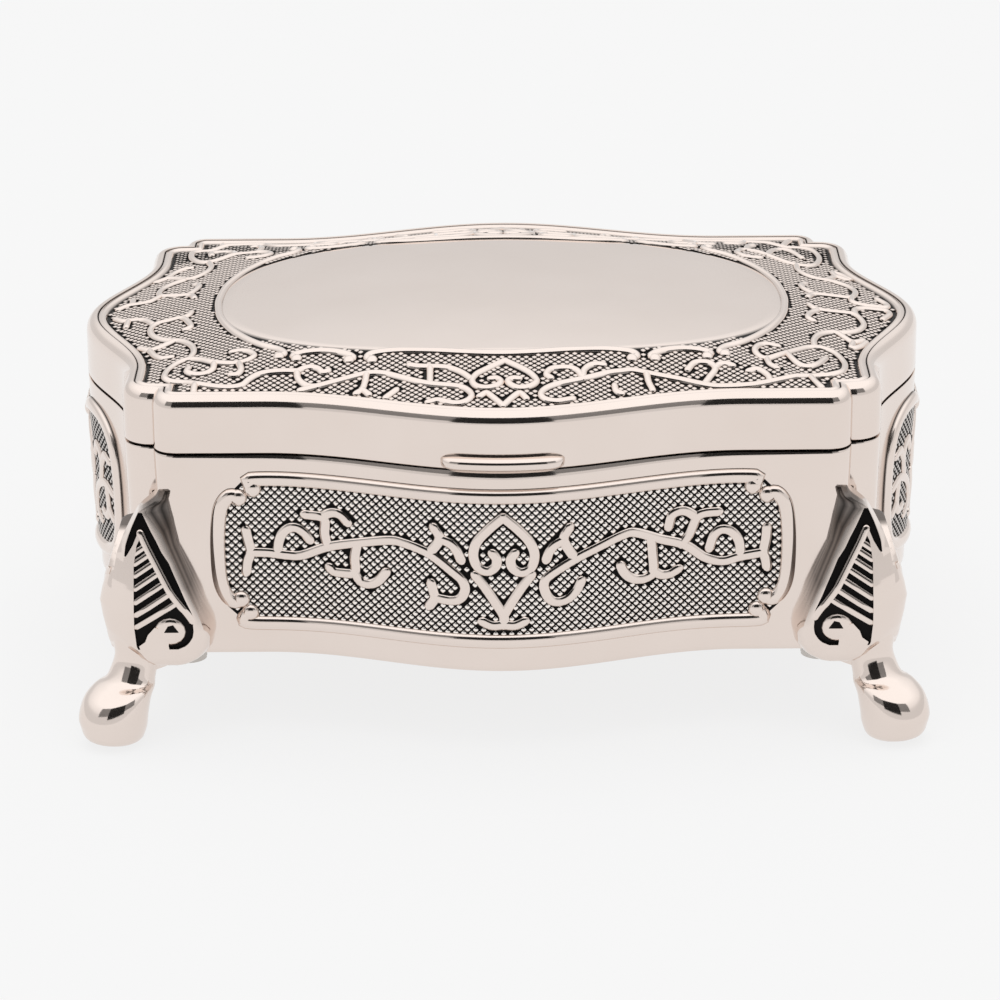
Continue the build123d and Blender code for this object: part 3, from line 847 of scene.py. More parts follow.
FRONT_VINES = HEART + (
    [(36.0, 26.6), (32.8, 26.0), (30.4, 25.4), (27.9, 26.1), (25.1, 28.2), (21.6, 29.5), (18.2, 30.9),
     (16.5, 30.8), (12.9, 29.4), (9.9, 28.1), (6.5, 26.1), (5.6, 24.9), (5.9, 23.3), (6.8, 22.2),
     (7.9, 22.0), (9.1, 22.4), (10.1, 23.4), (10.8, 24.8)],
    [(36.4, 30.3), (36.3, 28.6), (36.0, 26.6), (36.3, 25.6), (36.5, 24.4)],
    [(32.8, 26.1), (32.7, 27.8), (32.1, 29.2), (31.1, 30.0), (30.0, 30.1), (29.1, 29.3), (28.5, 27.4)],
    [(24.7, 28.3), (25.7, 29.7), (26.7, 32.1), (27.7, 32.7), (29.7, 32.8)],
    [(26.7, 32.1), (25.4, 33.1), (24.2, 33.3), (23.2, 32.7), (22.8, 31.1)],
    [(20.4, 30.0), (20.6, 27.7), (20.8, 24.8), (20.1, 24.0), (19.0, 23.8), (17.7, 24.2), (16.7, 25.2),
     (16.2, 26.3)],
    [(20.8, 24.8), (21.9, 24.1), (23.1, 24.1), (24.3, 24.7)],
    [(9.9, 28.1), (8.3, 31.1), (9.1, 32.9)],
    [(8.3, 31.1), (7.0, 30.4), (6.3, 29.5), (5.9, 28.4)],
    [(-35.5, 30.4), (-35.2, 28.8), (-34.9, 27.1), (-35.4, 25.6), (-35.6, 24.1)],
    [(-34.9, 27.1), (-32.4, 27.0), (-30.0, 26.7), (-27.8, 26.8), (-24.3, 28.3), (-20.0, 29.4),
     (-15.8, 30.3), (-13.8, 30.2), (-10.2, 29.0), (-7.0, 26.6), (-5.7, 25.4), (-5.3, 24.1), (-5.9, 22.8),
     (-7.1, 22.3), (-9.5, 22.5)],
    [(-10.0, 24.7), (-9.7, 23.4), (-9.5, 22.5), (-10.3, 21.2)],
    [(-31.2, 27.0), (-31.0, 28.6), (-30.4, 30.0), (-29.4, 30.8), (-28.4, 30.8), (-27.4, 30.1),
     (-26.7, 29.1)],
    [(-24.2, 28.3), (-24.6, 30.2), (-24.7, 32.5), (-27.3, 32.9)],
    [(-24.7, 32.5), (-24.4, 33.1), (-23.3, 33.5), (-22.3, 33.2), (-21.4, 32.2)],
    [(-20.1, 29.3), (-20.5, 27.2), (-20.6, 24.9), (-22.4, 24.6), (-23.5, 24.7), (-24.1, 25.3)],
    [(-20.6, 24.9), (-19.8, 23.6), (-18.6, 23.4), (-17.4, 24.0), (-16.2, 25.5)],
    [(-10.2, 29.0), (-8.7, 31.3), (-9.5, 33.0)],
    [(-8.7, 31.3), (-7.3, 30.8), (-6.4, 29.8), (-5.8, 28.4)],
)

# The right half of the vines on the side walls, which aren't seen in the photograph
SIDE_VINES_RIGHT = (
    [(7.0, 20.6), (5.6, 21.6), (5.2, 23.6), (6.2, 25.4), (8.2, 26.8), (10.4, 27.2), (12.4, 26.4)],
    [(8.0, 26.8), (8.8, 29.8), (8.2, 31.6), (6.8, 32.2), (6.0, 30.8)],
    [(8.8, 29.8), (10.2, 31.6), (11.8, 31.2)],
    [(10.2, 27.2), (10.6, 23.8), (9.8, 22.2), (8.4, 22.4)],
    [(10.6, 23.8), (12.0, 22.4)],
)


SIDE_VINES = HEART + SIDE_VINES_RIGHT + mirrored_u(SIDE_VINES_RIGHT)

# The side walls' frame is one scroll that starts and ends at the middle of the top
SIDE_FRAME = (
    whole([
        (1.3, 35.9), (2.8, 36.9), (5.6, 37.6), (9.4, 37.4), (12.3, 35.8), (13.9, 32.6), (14.4, 28.0),
        (14.0, 22.6), (12.8, 19.2), (10.4, 17.2), (6.5, 16.4), (0, 16.3),
    ]),
)


def panel_half(v, half):
    """Half length of a ground at a height. Its corners are cut off under the ends of the frame."""
    to_edge = np.minimum(v - PANEL_LOW_Z, PANEL_HIGH_Z - v)
    return half - CORNER_CUT * np.clip(1 - to_edge / CORNER_CUT, 0, 1)


def ground_panel(shape, place, half):
    """The dark ground just above the wall, under the beads."""
    row = 60
    lines = 27
    share, v = np.meshgrid(np.linspace(-1, 1, row), np.linspace(PANEL_LOW_Z, PANEL_HIGH_Z, lines))
    u = share * panel_half(v, half)
    points = [place(u.ravel(), v.ravel(), np.full(u.size, rise)) for rise in GROUND_RISES]
    top = ring_faces(lines, row, closed=False)
    under = [[corner + u.size for corner in face[::-1]] for face in top]
    edge = list(range(row)) + [row * line + row - 1 for line in range(1, lines)]
    edge += list(range(u.size - 2, u.size - row - 1, -1))
    edge += [row * line for line in range(lines - 2, 0, -1)]
    sides = []
    for corner, after in zip(edge, edge[1:] + edge[:1]):
        sides.append([after, corner, corner + u.size, after + u.size])
    shape.add(np.concatenate(points), top + under + sides, 1.0)


def panel(name, place, frame_strokes, vines, half, bead):
    """One ornamented wall: ground, frame, vines and lattice."""
    ground = Shape()
    ground_panel(ground, place, half)
    ground.piece(name + "_ground", "base", GROUND)
    raised = Shape()
    bars = []
    for path in frame_strokes:
        bars.append(stroke(raised, path, place, BAR_WIDTH, BAR_RISE, dark_foot=0.15))
        for end in (path[0], path[-1]):
            knob(raised, end, BAR_BULB_RADIUS, BAR_RISE + BULB_EXTRA_RISE, place)
    lines = [stroke(raised, path, place, WALL_VINE_WIDTH, fullness=WALL_VINE_FULLNESS) for path in vines]
    raised.piece(name + "_vines", "base", SILVER)
    centres = bead_centres(half, PANEL_LOW_Z, PANEL_HIGH_Z)
    centres = centres[np.abs(centres[:, 0]) < panel_half(centres[:, 1], half) - BEAD_PITCH / 2]
    centres = clear_of(centres, lines, WALL_VINE_WIDTH / 2 + WALL_VINE_GAP)
    centres = clear_of(centres, bars, BAR_WIDTH / 2 - BEADS_UNDER_BARS)
    lattice = Shape()
    beads(lattice, centres, place, bead)
    lattice.piece(name + "_lattice", "base", HIGHLIT_BURNISHED, sharp=BEAD_SHARP)


# Vines of the lid's front half, left and right of the heart, as X and Y
LID_VINES_FRONT = (
    [(0.4, -29.2), (-2.4, -31.6), (-3.6, -32.8), (-4.1, -34.4), (-3.5, -35.8), (-2.1, -36.3), (-0.7, -35.7),
     (-0.2, -34.7), (-0.7, -33.9), (-1.6, -34)],
    [(0.1, -41), (-1.6, -38.3), (-2.2, -37.7), (-3.1, -38.5)],
    [(-10.1, -39.4), (-8.8, -39), (-7.4, -39.7), (-6, -40.1), (-4.8, -39.5), (-4.2, -38.3), (-4.7, -36.8),
     (-6.1, -35.7), (-10.3, -34.5), (-14.3, -32.3), (-16.1, -31.3), (-17.9, -30.9), (-19.8, -31.3),
     (-23.9, -32.8), (-27.7, -34.2)],
    [(-9.9, -34.4), (-9.9, -30.5)],
    [(-12.7, -29.6), (-11.3, -30.1), (-8.3, -30.5), (-6.8, -31.1), (-5.4, -32.3), (-4.3, -33.8)],
    [(-14.5, -35.7), (-15.9, -37.4)],
    [(-18.7, -31.2), (-18.8, -32.9), (-19.2, -34.9), (-20, -35.8)],
    [(-19.2, -34.9), (-18.2, -36.3)],
    [(-28.3, -29.7), (-28.1, -31.2), (-27.4, -32.5), (-26.4, -33.3), (-25.3, -33.4)],
    [(-28.3, -29.5), (-27.5, -28.8), (-26.4, -28.5), (-25.4, -29), (-24.7, -30), (-24, -29.7)],
    [(-28.3, -29.4), (-30.1, -29.2), (-32.1, -29.3), (-33.7, -29.9), (-34.9, -31.2), (-35.8, -32.6),
     (-37.4, -33.1), (-39.5, -32.8), (-41.6, -32.1), (-43.7, -30.6), (-45.6, -30.1), (-46.6, -29),
     (-46.6, -26.8), (-46, -24.9), (-45, -23.3), (-43.7, -22.6), (-41.9, -23.5), (-40.2, -25),
     (-38.3, -25.6), (-36.5, -25.8), (-35.2, -25.1), (-34.5, -23.8), (-35.3, -22.4), (-36.6, -21.8),
     (-37.7, -22)],
    [(-42.3, -31.9), (-42.3, -34.3)],
    [(-40, -25.4), (-40.1, -27.1), (-41, -28.2), (-42.3, -28.4), (-43.6, -27.6), (-43.5, -26.2)],
    [(-36.5, -26), (-36.1, -28.4), (-36.6, -29.7), (-37.4, -29.8)],
    [(-43.6, -22.2), (-43.2, -19.9), (-43.6, -17.4), (-44.7, -15.4), (-46.1, -14.3), (-47.2, -15.1),
     (-48.4, -16.1), (-49.6, -16.6), (-51.1, -15.3)],
    [(-49.6, -16.8), (-48.7, -19.1), (-47.5, -20.6), (-46.3, -20.7)],
    [(-46.9, -14), (-48.4, -12.8), (-49.7, -10.8), (-50.1, -8.4), (-49.5, -6.6), (-48.2, -6), (-45.9, -5.4),
     (-44.8, -7.3), (-44.3, -9.6), (-45, -10.5)],
    [(-45.9, -5.4), (-45, -4.7), (-44.6, -3.3)],
    [(-49.9, -6.4), (-51.2, -4.3), (-52.8, -3.7), (-54.3, -3.6), (-55.6, -2.2)],
    [(-53.7, -3.8), (-53.8, -6.2)],
    [(0.4, -29.2), (3.1, -31.6), (4.3, -33.2), (4.7, -34.7), (3.8, -35.9), (2.4, -36.4), (1.2, -35.6),
     (0.8, -34.5), (1.5, -33.9), (2.3, -34)],
    [(0.1, -41), (1.7, -38.4), (2.5, -37.8), (3.3, -39.1)],
    [(9.6, -38.8), (8.6, -39.2), (7.3, -39.6), (5.9, -39.2), (5.3, -38.1), (5.8, -36.6), (7.5, -35.2),
     (11.1, -33.5), (14.5, -31.7), (16.3, -31.1), (18.1, -30.7), (21.3, -31.5), (24.5, -32.3),
     (27.9, -33.4), (30, -33.7), (34.7, -33.2), (39, -31.6), (43.1, -29.9), (45.2, -29.5), (47, -28.1),
     (47.7, -25.1), (47.3, -22.3), (46.4, -20.2), (44.9, -19.2), (43, -19.6), (41.2, -21.3), (39.6, -23),
     (38.1, -24.5), (36.6, -25.4), (35.6, -24.4), (35.3, -22.7), (36.1, -20.9), (37.4, -20.4),
     (38.6, -20.8)],
    [(11.1, -33.5), (10.5, -31.7), (9.6, -30.9), (7.9, -30.9), (6.6, -31.4), (6.1, -32.8), (6.7, -33.6)],
    [(11.1, -33.2), (11.3, -31.3), (12.1, -30), (13.1, -29.6), (14, -29.7)],
    [(19.9, -31.3), (20.1, -33.3), (20.6, -35.3)],
    [(15.4, -34.8), (15.6, -36.2), (16.3, -36.7)],
    [(27.8, -33.1), (28.6, -31.4), (29.4, -29.5), (28.9, -28), (27.6, -27.7), (26.5, -28.1), (25.6, -29.8)],
    [(29.4, -29.3), (30, -28.2), (31, -27.9), (31.9, -28.4)],
    [(36.9, -32.4), (36.6, -30.9), (35.8, -29.6), (35, -29.2), (34, -29.8)],
    [(39.7, -22.8), (40.4, -25.1), (41.3, -26.8), (42.5, -27.3), (43.8, -26.1), (45.1, -23.4)],
    [(36.8, -25.3), (37.1, -27.4), (38, -28.6)],
    [(42.6, -30.4), (43.1, -32.2), (43.8, -34)],
    [(43.9, -18.9), (44, -16.4), (44.8, -14.1), (46.2, -12.7), (47.5, -12.4), (48.5, -13.8), (49.6, -15.2),
     (51.1, -14.1)],
    [(49.6, -15.4), (49.2, -17.6), (50.5, -16.6), (51.5, -14.7)],
    [(47.8, -12.3), (49.3, -11.6), (50.8, -10.2), (51.7, -7.9), (51.4, -5.4), (50.5, -3.8), (48.9, -3.7),
     (45.5, -3.6), (44.4, -1.9)],
    [(45.4, -3.8), (44.2, -5.6), (43.8, -7.6), (44.5, -8.8)],
    [(50.9, -4.3), (50.9, -1.9), (52.2, -0.8), (54, -0.7), (55.5, -0.8), (55.9, -2.2), (54.7, -4.7)],
)

# Frame of the oval: the stroke along its front, the short one beside it, and the long one round its side
OVAL_FRONT = whole([
    (-18, -27.7), (-18.7, -26.9), (-17.8, -26.0), (-14.4, -25.7), (-10, -26.1), (-4.4, -26.9), (0, -27.2),
])
OVAL_SHORT = [
    (21.2, -27.3), (20.6, -26.8), (21.4, -25.8), (22.9, -24.9), (25.2, -24.2), (27.7, -24.3), (29, -25),
    (28.5, -26),
]
OVAL_SIDE = [
    (31, -25), (30.3, -24.2), (31.2, -22.5), (33.5, -20.6), (35.9, -17.5), (38.3, -13.1), (40.1, -7.6),
    (40.8, -2),
]
OVAL_SIDE += [(u, -v) for u, v in OVAL_SIDE[::-1]]
OVAL_BULB_RADIUS = 0.85


def oval_frame():
    """The strokes of the oval's frame, as one loop of eight."""
    front = (OVAL_FRONT, OVAL_SHORT, *mirrored_u([OVAL_SHORT]))
    return front + mirrored_v(front) + (OVAL_SIDE, *mirrored_u([OVAL_SIDE]))


def lid_ornament():
    raised = Shape()
    vines = LID_VINES_FRONT + mirrored_v(LID_VINES_FRONT)
    lines = [stroke(raised, path, on_lid, LID_VINE_WIDTH) for path in vines]
    frame_lines = []
    for path in oval_frame():
        frame_lines.append(stroke(raised, path, on_lid, OVAL_FRAME_WIDTH, OVAL_FRAME_RISE))
        for end in (path[0], path[-1]):
            knob(raised, end, OVAL_BULB_RADIUS, OVAL_FRAME_RISE + BULB_EXTRA_RISE, on_lid)
    raised.piece("lid_vines", "lid", SILVER)
    centres = bead_centres(SIDE_BULGE_X, -FRONT_BULGE_Y, FRONT_BULGE_Y)
    share = field_share(centres[:, 0], centres[:, 1])
    centres = centres[(share > FIELD_BEADS_FROM) & (share < FIELD_BEADS_TO)]
    centres = clear_of(centres, lines, LID_VINE_WIDTH / 2 + LID_VINE_GAP)
    centres = clear_of(centres, frame_lines, OVAL_FRAME_WIDTH / 2 + OVAL_FRAME_GAP)
    # The beads behind carry painted shade on their tops
    behind = centres[:, 1] > LID_SHADED_BEADS_FROM_Y
    for name, side in (("right", centres[:, 0] >= 0), ("left", centres[:, 0] < 0)):
        shape = Shape()
        beads(shape, centres[side & ~behind], on_lid, LID_BEAD)
        beads(shape, centres[side & behind], on_lid, LID_BACK_SHADED_BEAD)
        shape.piece("lid_lattice_" + name, "lid", SILVER, sharp=BEAD_SHARP)


# Legs. The wing tables belong to the front wing of the front right leg, as height against X or against depth.
WING_LOW_Z = 10.8
WING_HIGH_Z = 36.0
WALL_EDGE = (
    (10.8, 46.0), (11.0, 44.6), (11.5, 43.0), (12.4, 41.5), (13.9, 40.4), (15.8, 40.0), (16.8, 40.2),
    (19.6, 41.9), (25.5, 44.0), (28.5, 45.1), (32.9, 45.5), (35.4, 45.8), (36.0, 46.2),
)
LIP_EDGE = (
    (10.8, 46.2), (11.3, 45.0), (12.2, 43.6), (13.9, 42.2), (15.8, 41.4), (17.6, 41.5), (19.9, 42.2),
    (25.0, 44.4), (30.9, 47.0), (33.6, 49.0), (34.2, 48.8), (34.7, 47.8), (35.2, 47.0), (36.0, 46.5),
)
GROUND_LEFT = (
    (14.1, 45.2), (14.5, 44.3), (15.0, 43.7), (16.0, 43.1), (17.0, 42.95), (18.0, 43.0), (18.7, 42.8),
    (20.1, 43.2), (21.6, 43.9), (23.3, 44.6), (25.1, 45.4), (26.8, 46.1), (28.3, 47.1), (29.8, 47.8),
    (31.1, 48.5), (32.6, 49.2), (33.7, 49.7), (34.2, 49.1), (34.7, 48.1), (35.2, 47.3), (36.0, 46.8),
)
GROUND_RIGHT = (
    (10.8, 47.0), (11.3, 48.3), (12.4, 49.5), (14.1, 50.5), (14.6, 50.7), (17.5, 50.9), (27.3, 50.7),
    (27.7, 52.0), (29.3, 51.8), (30.5, 51.4), (32.0, 50.8), (33.7, 50.0), (34.2, 49.4), (34.7, 48.4),
    (35.2, 47.6), (36.0, 47.1),
)
FRONT_PROUD = (
    (10.8, 1.0), (11.0, 1.8), (11.5, 2.6), (12.4, 3.1), (14.0, 3.4), (16.0, 3.7), (18.0, 4.1), (20.3, 4.4),
    (23.0, 4.0), (28.0, 2.9), (33.0, 1.8), (34.0, 1.55), (35.0, 1.3), (35.5, 1.0), (35.8, 0.3),
    (36.0, -0.6),
)
CORNER_X = (
    (10.8, 49.8), (11.5, 51.0), (12.5, 52.2), (14.0, 53.2), (16.2, 53.9), (20.3, 54.3), (24.0, 54.0),
    (28.0, 53.2), (30.3, 52.3), (32.5, 51.1), (33.7, 50.3), (34.3, 49.5), (34.8, 48.6), (35.2, 47.9),
    (36.0, 47.4),
)
GROUND_LOW_Z = 14.1
GROUND_HIGH_Z = 33.7
RELIEF = 0.45
WING_BACK_Y = 36.7
# Painted shade on the wing's bevel beside the wall: its streaks across the bevel, and how dark it is by
# height
BEVEL_SHADE_STREAKS = np.array([0.97, 0.82, 1.0, 0.78, 0.98, 0.7])
BEVEL_PAINTED_SHADE = ((17.0, 0.0), (20.0, 0.55), (23.0, 0.9), (36.0, 0.96))
# Painted shade over the wing's peak, by height
PEAK_PAINTED_SHADE = ((33.9, 0.0), (34.5, 0.8))
WING_DEPTH_LEAST = 0.4
GROUND_EDGE_SLOPE = 0.12
BEVEL_ROUND_BELOW_Z = 20.0
BEVEL_ROUND_OVER = 3.5
WING_LEVELS = 75
LEAST_WIDTH = 0.3
WING_BACK_X = 45.2
WING_BACK_GAP = 0.9

# How many points at the end of a row, round the corner, are left out of the painted shade at the peak
CORNER_LEFT_UNSHADED = 5

V_STROKE_LEFT = [
    (49.9, 30.9), (49.0, 28.9), (48.3, 27.5), (47.6, 26.1), (46.7, 24.3), (45.8, 22.6), (44.7, 21.1),
    (43.7, 19.8), (42.9, 18.5),
]
V_WIDTH = 1.05
V_RISE = 0.5
V_RIGHT_LEG = [
    (49.9, 31.4), (49.8, 30.4), (50.4, 29.2), (50.75, 27.0), (51.0, 26.2), (52.3, 26.2), (52.2, 27.4),
    (51.7, 28.0), (50.9, 29.3), (50.3, 30.7),
]
RIB_RIGHT_X = 50.75
RIB_RIGHT_Z = (28.1, 26.7, 25.1, 23.3, 21.4, 19.5, 17.6)
RIB_SLOPE = math.radians(33)
RIB_WIDTH = 0.85
RIB_RISE = 0.4
RIB_V_GAP = 0.35
RIB_VOLUTE_GAP = 0.6
VOLUTE_X = 46.1
VOLUTE_Z = 16.8
VOLUTE_RADIUS = 2.2
VOLUTE_RISE = 0.65
VOLUTE_FILL = [
    (46.3, 14.0), (50.3, 14.0), (50.5, 14.6), (49.6, 15.3), (49.2, 16.4), (48.2, 17.6), (46.1, 16.8),
    (46.4, 14.7),
]
EYE = [(44.9, 16.9), (46.9, 16.9), (46.4, 17.8), (45.6, 18.0)]
EYE_RISE = 0.75

# The round leg below the wings: height, how far the centre is out from the crease along X and along Y, radius
LEG_SECTIONS = (
    (15.6, 3.3, 3.0), (14.0, 3.2, 3.1), (12.2, 3.1, 3.07), (10.6, 3.4, 3.2), (8.8, 4.05, 3.5),
    (7.9, 4.9, 4.3), (6.5, 5.8, 4.7), (4.2, 6.35, 4.85), (2.6, 6.35, 4.65), (1.1, 6.3, 4.1),
    (0.3, 5.8, 3.0), (0.0, 5.8, 2.4),
)
TAB_THICKNESS = 1.6
TAB_WIDTH = 5.6
TAB_OUT = 3.0
TAB_TURN = math.radians(135)
LEG_SCREW_X = 44.5
LEG_SCREW_Y = 30.45
BOSS_RADIUS = 2.8
DIAGONAL_SUM = CREASE_X - CREASE_Y
SIDE_LOWERED_FROM_Z = 20.0
SIDE_PEAK_SHARE = 0.7


def from_table(table, value):
    heights, values = zip(*sorted(table))
    return np.interp(value, heights, values)


def on_wing(u, v, rise):
    """The sunk ground of the front wing."""
    return np.stack([u, -(FRONT_Y + from_table(FRONT_PROUD, v) - RELIEF) - rise, v + 0 * u], axis=-1)


def wing_row(z):
    """One level of the wing as points, anticlockwise from above, and their patina and painted shade."""
    wall_x = from_table(WALL_EDGE, z)
    lip_x = from_table(LIP_EDGE, z)
    face_y = FRONT_Y + from_table(FRONT_PROUD, z)
    corner_x = from_table(CORNER_X, z)
    corner_y = CREASE_Y + corner_x - CREASE_X
    back_y = min(WING_BACK_Y, face_y - WING_DEPTH_LEAST)
    wall_point = np.array([wall_x, back_y])
    to_lip = np.array([lip_x, face_y]) - wall_point
    share = np.linspace(0, 1, len(BEVEL_SHADE_STREAKS))
    quarter = arc(0, math.pi / 2, len(BEVEL_SHADE_STREAKS))
    rounded = np.column_stack([1 - quarter[:, 0], quarter[:, 1]])
    roundness = np.clip((BEVEL_ROUND_BELOW_Z - z) / BEVEL_ROUND_OVER, 0, 1)
    edge = wall_point + to_lip * (share[:, None] * (1 - roundness) + rounded * roundness)
    sunk = float(GROUND_LOW_Z < z < GROUND_HIGH_Z)
    ground_y = face_y - RELIEF * sunk
    left = max(from_table(GROUND_LEFT, z), lip_x + LEAST_WIDTH)
    right = max(from_table(GROUND_RIGHT, z), left + LEAST_WIDTH)
    sill = [(left - GROUND_EDGE_SLOPE, face_y)]
    sill += [(x, ground_y) for x in (left, (left + right) / 2, right)]
    end_x = max(corner_x, right + LEAST_WIDTH)
    start = np.array([right + GROUND_EDGE_SLOPE, face_y])
    end = np.array([end_x, corner_y + end_x - corner_x])
    bend = np.array([max(end_x - (face_y - end[1]), start[0] + 0.1), face_y])
    step = np.linspace(0, 1, 9)[:, None]
    curve = (1 - step) ** 2 * start + 2 * step * (1 - step) * bend + step**2 * end
    inner = min(WING_BACK_GAP, end_x - CREASE_X - LEAST_WIDTH)
    back = [(CREASE_X + inner, CREASE_Y + inner)]
    back += [(max(WING_BACK_X, wall_x + WING_DEPTH_LEAST), back_y - WING_DEPTH_LEAST)]
    flat = np.concatenate([edge, sill, curve, back])
    # Painted shade on the bevel, darker higher up
    bevel_shade = from_table(BEVEL_PAINTED_SHADE, z) * BEVEL_SHADE_STREAKS
    # The wing's back, against the wall, is black with painted shade below the ground's top
    back_shade = [float(z < GROUND_HIGH_Z)] * len(back)
    dark = np.concatenate([bevel_shade, [0, sunk, sunk, sunk], np.zeros(len(curve)), back_shade])
    # Painted shade over the peak, all but the corner
    dark[:-CORNER_LEFT_UNSHADED] = np.maximum(dark[:-CORNER_LEFT_UNSHADED], from_table(PEAK_PAINTED_SHADE, z))
    return level(flat * (1, -1), z), dark


def wing():
    """The front wing of the front right leg: bevel, lip, black ground, V, ribs and volute."""
    shape = Shape()
    levels = np.linspace(WING_LOW_Z, WING_HIGH_Z, WING_LEVELS)
    steps = [GROUND_LOW_Z, GROUND_LOW_Z + 0.1, GROUND_HIGH_Z - 0.1, GROUND_HIGH_Z]
    rows = [wing_row(z) for z in np.unique(np.concatenate([levels, steps]))]
    closed_rings(shape, [points for points, _ in rows], np.concatenate([dark for _, dark in rows]))
    stroke(shape, V_STROKE_LEFT, on_wing, V_WIDTH, V_RISE, dark_foot=0.1, fullness=0.3)
    plate(shape, V_RIGHT_LEG, on_wing, RELIEF)
    for right_z in RIB_RIGHT_Z:
        stroke(shape, rib_path(right_z), on_wing, RIB_WIDTH, RIB_RISE, dark_foot=0.2, fullness=0.3)
    plate(shape, VOLUTE_FILL, on_wing, RELIEF)
    knob(shape, (VOLUTE_X, VOLUTE_Z), VOLUTE_RADIUS, VOLUTE_RISE, on_wing)
    plate(shape, EYE, on_wing, EYE_RISE, dark=1.0)
    return shape


def rib_path(right_z):
    """From the right border up to the V or to the volute, whichever comes first."""
    steep = sorted((z, x) for x, z in V_STROKE_LEFT)
    reach = 0.0
    clear = True
    while clear:
        reach += 0.1
        x = RIB_RIGHT_X - reach * math.cos(RIB_SLOPE)
        z = right_z + reach * math.sin(RIB_SLOPE)
        off_volute = math.hypot(x - VOLUTE_X, z - VOLUTE_Z) - VOLUTE_RADIUS
        clear = x > from_table(steep, z) + RIB_V_GAP and off_volute > RIB_VOLUTE_GAP
    return [(RIB_RIGHT_X, right_z), (x, z)]


def side_wing(points):
    """The front wing reflected across the upright plane through the corner, with a lower peak."""
    height = points[:, 2]
    lowered = height - (1 - SIDE_PEAK_SHARE) * np.maximum(height - SIDE_LOWERED_FROM_Z, 0)
    return level(DIAGONAL_SUM - points[:, 1::-1], lowered)


def outward(reach):
    """A place on the diagonal through the front right crease, in plan."""
    return np.array([CREASE_X + reach, -(CREASE_Y + reach)])


def leg_body(shape):
    """The round lower leg, the club foot, and the tab under the floor."""
    rings = []
    for z, out, radius in smooth_path(LEG_SECTIONS[::-1], 0.35):
        rings.append(level(outward(out) + radius * circle(40), max(z, 0.0)))
    closed_rings(shape, rings)
    half_turn = TAB_WIDTH / 2 * arc(-TAB_TURN, math.pi - TAB_TURN, 17)
    flat = np.concatenate([outward(TAB_OUT) + half_turn, (LEG_SCREW_X, -LEG_SCREW_Y) - half_turn])
    closed_rings(shape, [level(flat, z) for z in (BASE_BOTTOM_Z - TAB_THICKNESS, BASE_BOTTOM_Z)])


LEG_PLACES = (("front_right", 1, 1), ("front_left", -1, 1), ("back_left", -1, -1), ("back_right", 1, -1))


def legs():
    """One leg, and its reflections at the other three corners."""
    quarter = Shape()
    leg_body(quarter)
    one_wing = wing()
    quarter.add_copy(one_wing, lambda points: points, False)
    quarter.add_copy(one_wing, side_wing, True)
    for name, sign_x, sign_y in LEG_PLACES:
        shape = Shape()
        shape.add_copy(quarter, lambda points: points * (sign_x, sign_y, 1), sign_x * sign_y < 0)
        made = shape.piece("cast_leg_" + name, "base", SILVER)
        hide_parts("leg_" + name)


# Velvet linings

def held_back(ring, limit):
    """A ring with its back cut straight, to leave room for the hinge pads."""
    return np.column_stack([ring[:, 0], np.minimum(ring[:, 1], limit)])


def pucker(flat, depth):
    """Small soft folds that run in from the edge, as heights."""
    angle = np.arctan2(flat[:, 1], flat[:, 0])
    return depth * (np.sin(23 * angle) + 0.6 * np.sin(37 * angle + 1.3) + 0.4 * np.sin(61 * angle))


def floor_lining():
    """A card under velvet, softly crowned, with its edge rolled down."""
    shape = Shape()
    inset = WALL + draft(FLOOR_CARD_BOTTOM_Z) + CARD_GAP
    edge = held_back(plan_ring(inset), CARD_BACK_Y)
    rings = [level(edge * share, z) for share, z in FLOOR_CARD_EDGE]
    for share in FLOOR_CROWN_SHARES:
        height = FLOOR_CARD_TOP_Z + FLOOR_CROWN * (1 - share**2) + pucker(edge, 0.05) * share**6
        rings.append(level(edge * share, height))
    closed_rings(shape, rings)
    made = shape.piece("velvet_floor", "base", VELVET)
    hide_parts("base_lining_floor")


def wall_lining():
    """The strip round the inside of the walls, with a rolled top edge."""
    shape = Shape()
    rings = []
    for share, z, soft in WALL_CARD_SECTION:
        inset = WALL + draft(z) + CARD_GAP + share * CARD_THICKNESS
        ring = plan_ring(inset) * (1 - soft * 0.01 * (1 + pucker(PLAN, 0.5)[:, None]))
        rings.append(level(held_back(ring, CARD_BACK_Y - share * CARD_THICKNESS), z))
    around = len(PLAN)
    faces = ring_faces(len(rings) + 1, around)
    count = len(rings) * around
    shape.add(np.concatenate(rings), [[corner % count for corner in face] for face in faces])
    made = shape.piece("velvet_walls", "base", VELVET)
    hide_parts("base_lining_wall")


def lid_pad():
    """The soft pad inside the lid, full in the middle and drawn in with small folds at its edge."""
    shape = Shape()
    edge = held_back(plan_ring(PAD_INSET), CARD_BACK_Y)
    rings = []
    for share, rise in LID_PAD_SECTION:
        folds = pucker(edge, 0.07) * (share**5 if rise < 1 else 0)
        rings.append(level(edge * share, PAD_EDGE_Z + rise + folds))
    closed_rings(shape, rings)
    made = shape.piece("velvet_lid_pad", "lid", VELVET)
    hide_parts("lid_lining_pad")


def screw_bosses():
    """The four raised rounds on the floor that the leg screws go into."""
    shape = Shape()
    for sign_x in (-1, 1):
        for sign_y in (-1, 1):
            rim = BOSS_RADIUS * circle(32) + (sign_x * LEG_SCREW_X, sign_y * LEG_SCREW_Y)
            closed_rings(shape, [level(rim, z) for z in (BASE_FLOOR_Z - SINK, FLOOR_CARD_BOTTOM_Z)])
    shape.piece("base_screw_bosses", "base", SILVER)


HINGE_NODES = (
    "leg_screws", "hinge_base_leaf", "hinge_lid_leaf", "hinge_pin", "hinge_screws_base", "hinge_screws_lid",
)


def hinge_finish():
    """The leg screws and the hinge's leaves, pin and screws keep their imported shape."""
    for name in HINGE_NODES:
        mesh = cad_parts[name].data
        mesh.materials.clear()
        mesh.materials.append(HINGE_METAL)


# Stage: floor, lamp, cards and camera

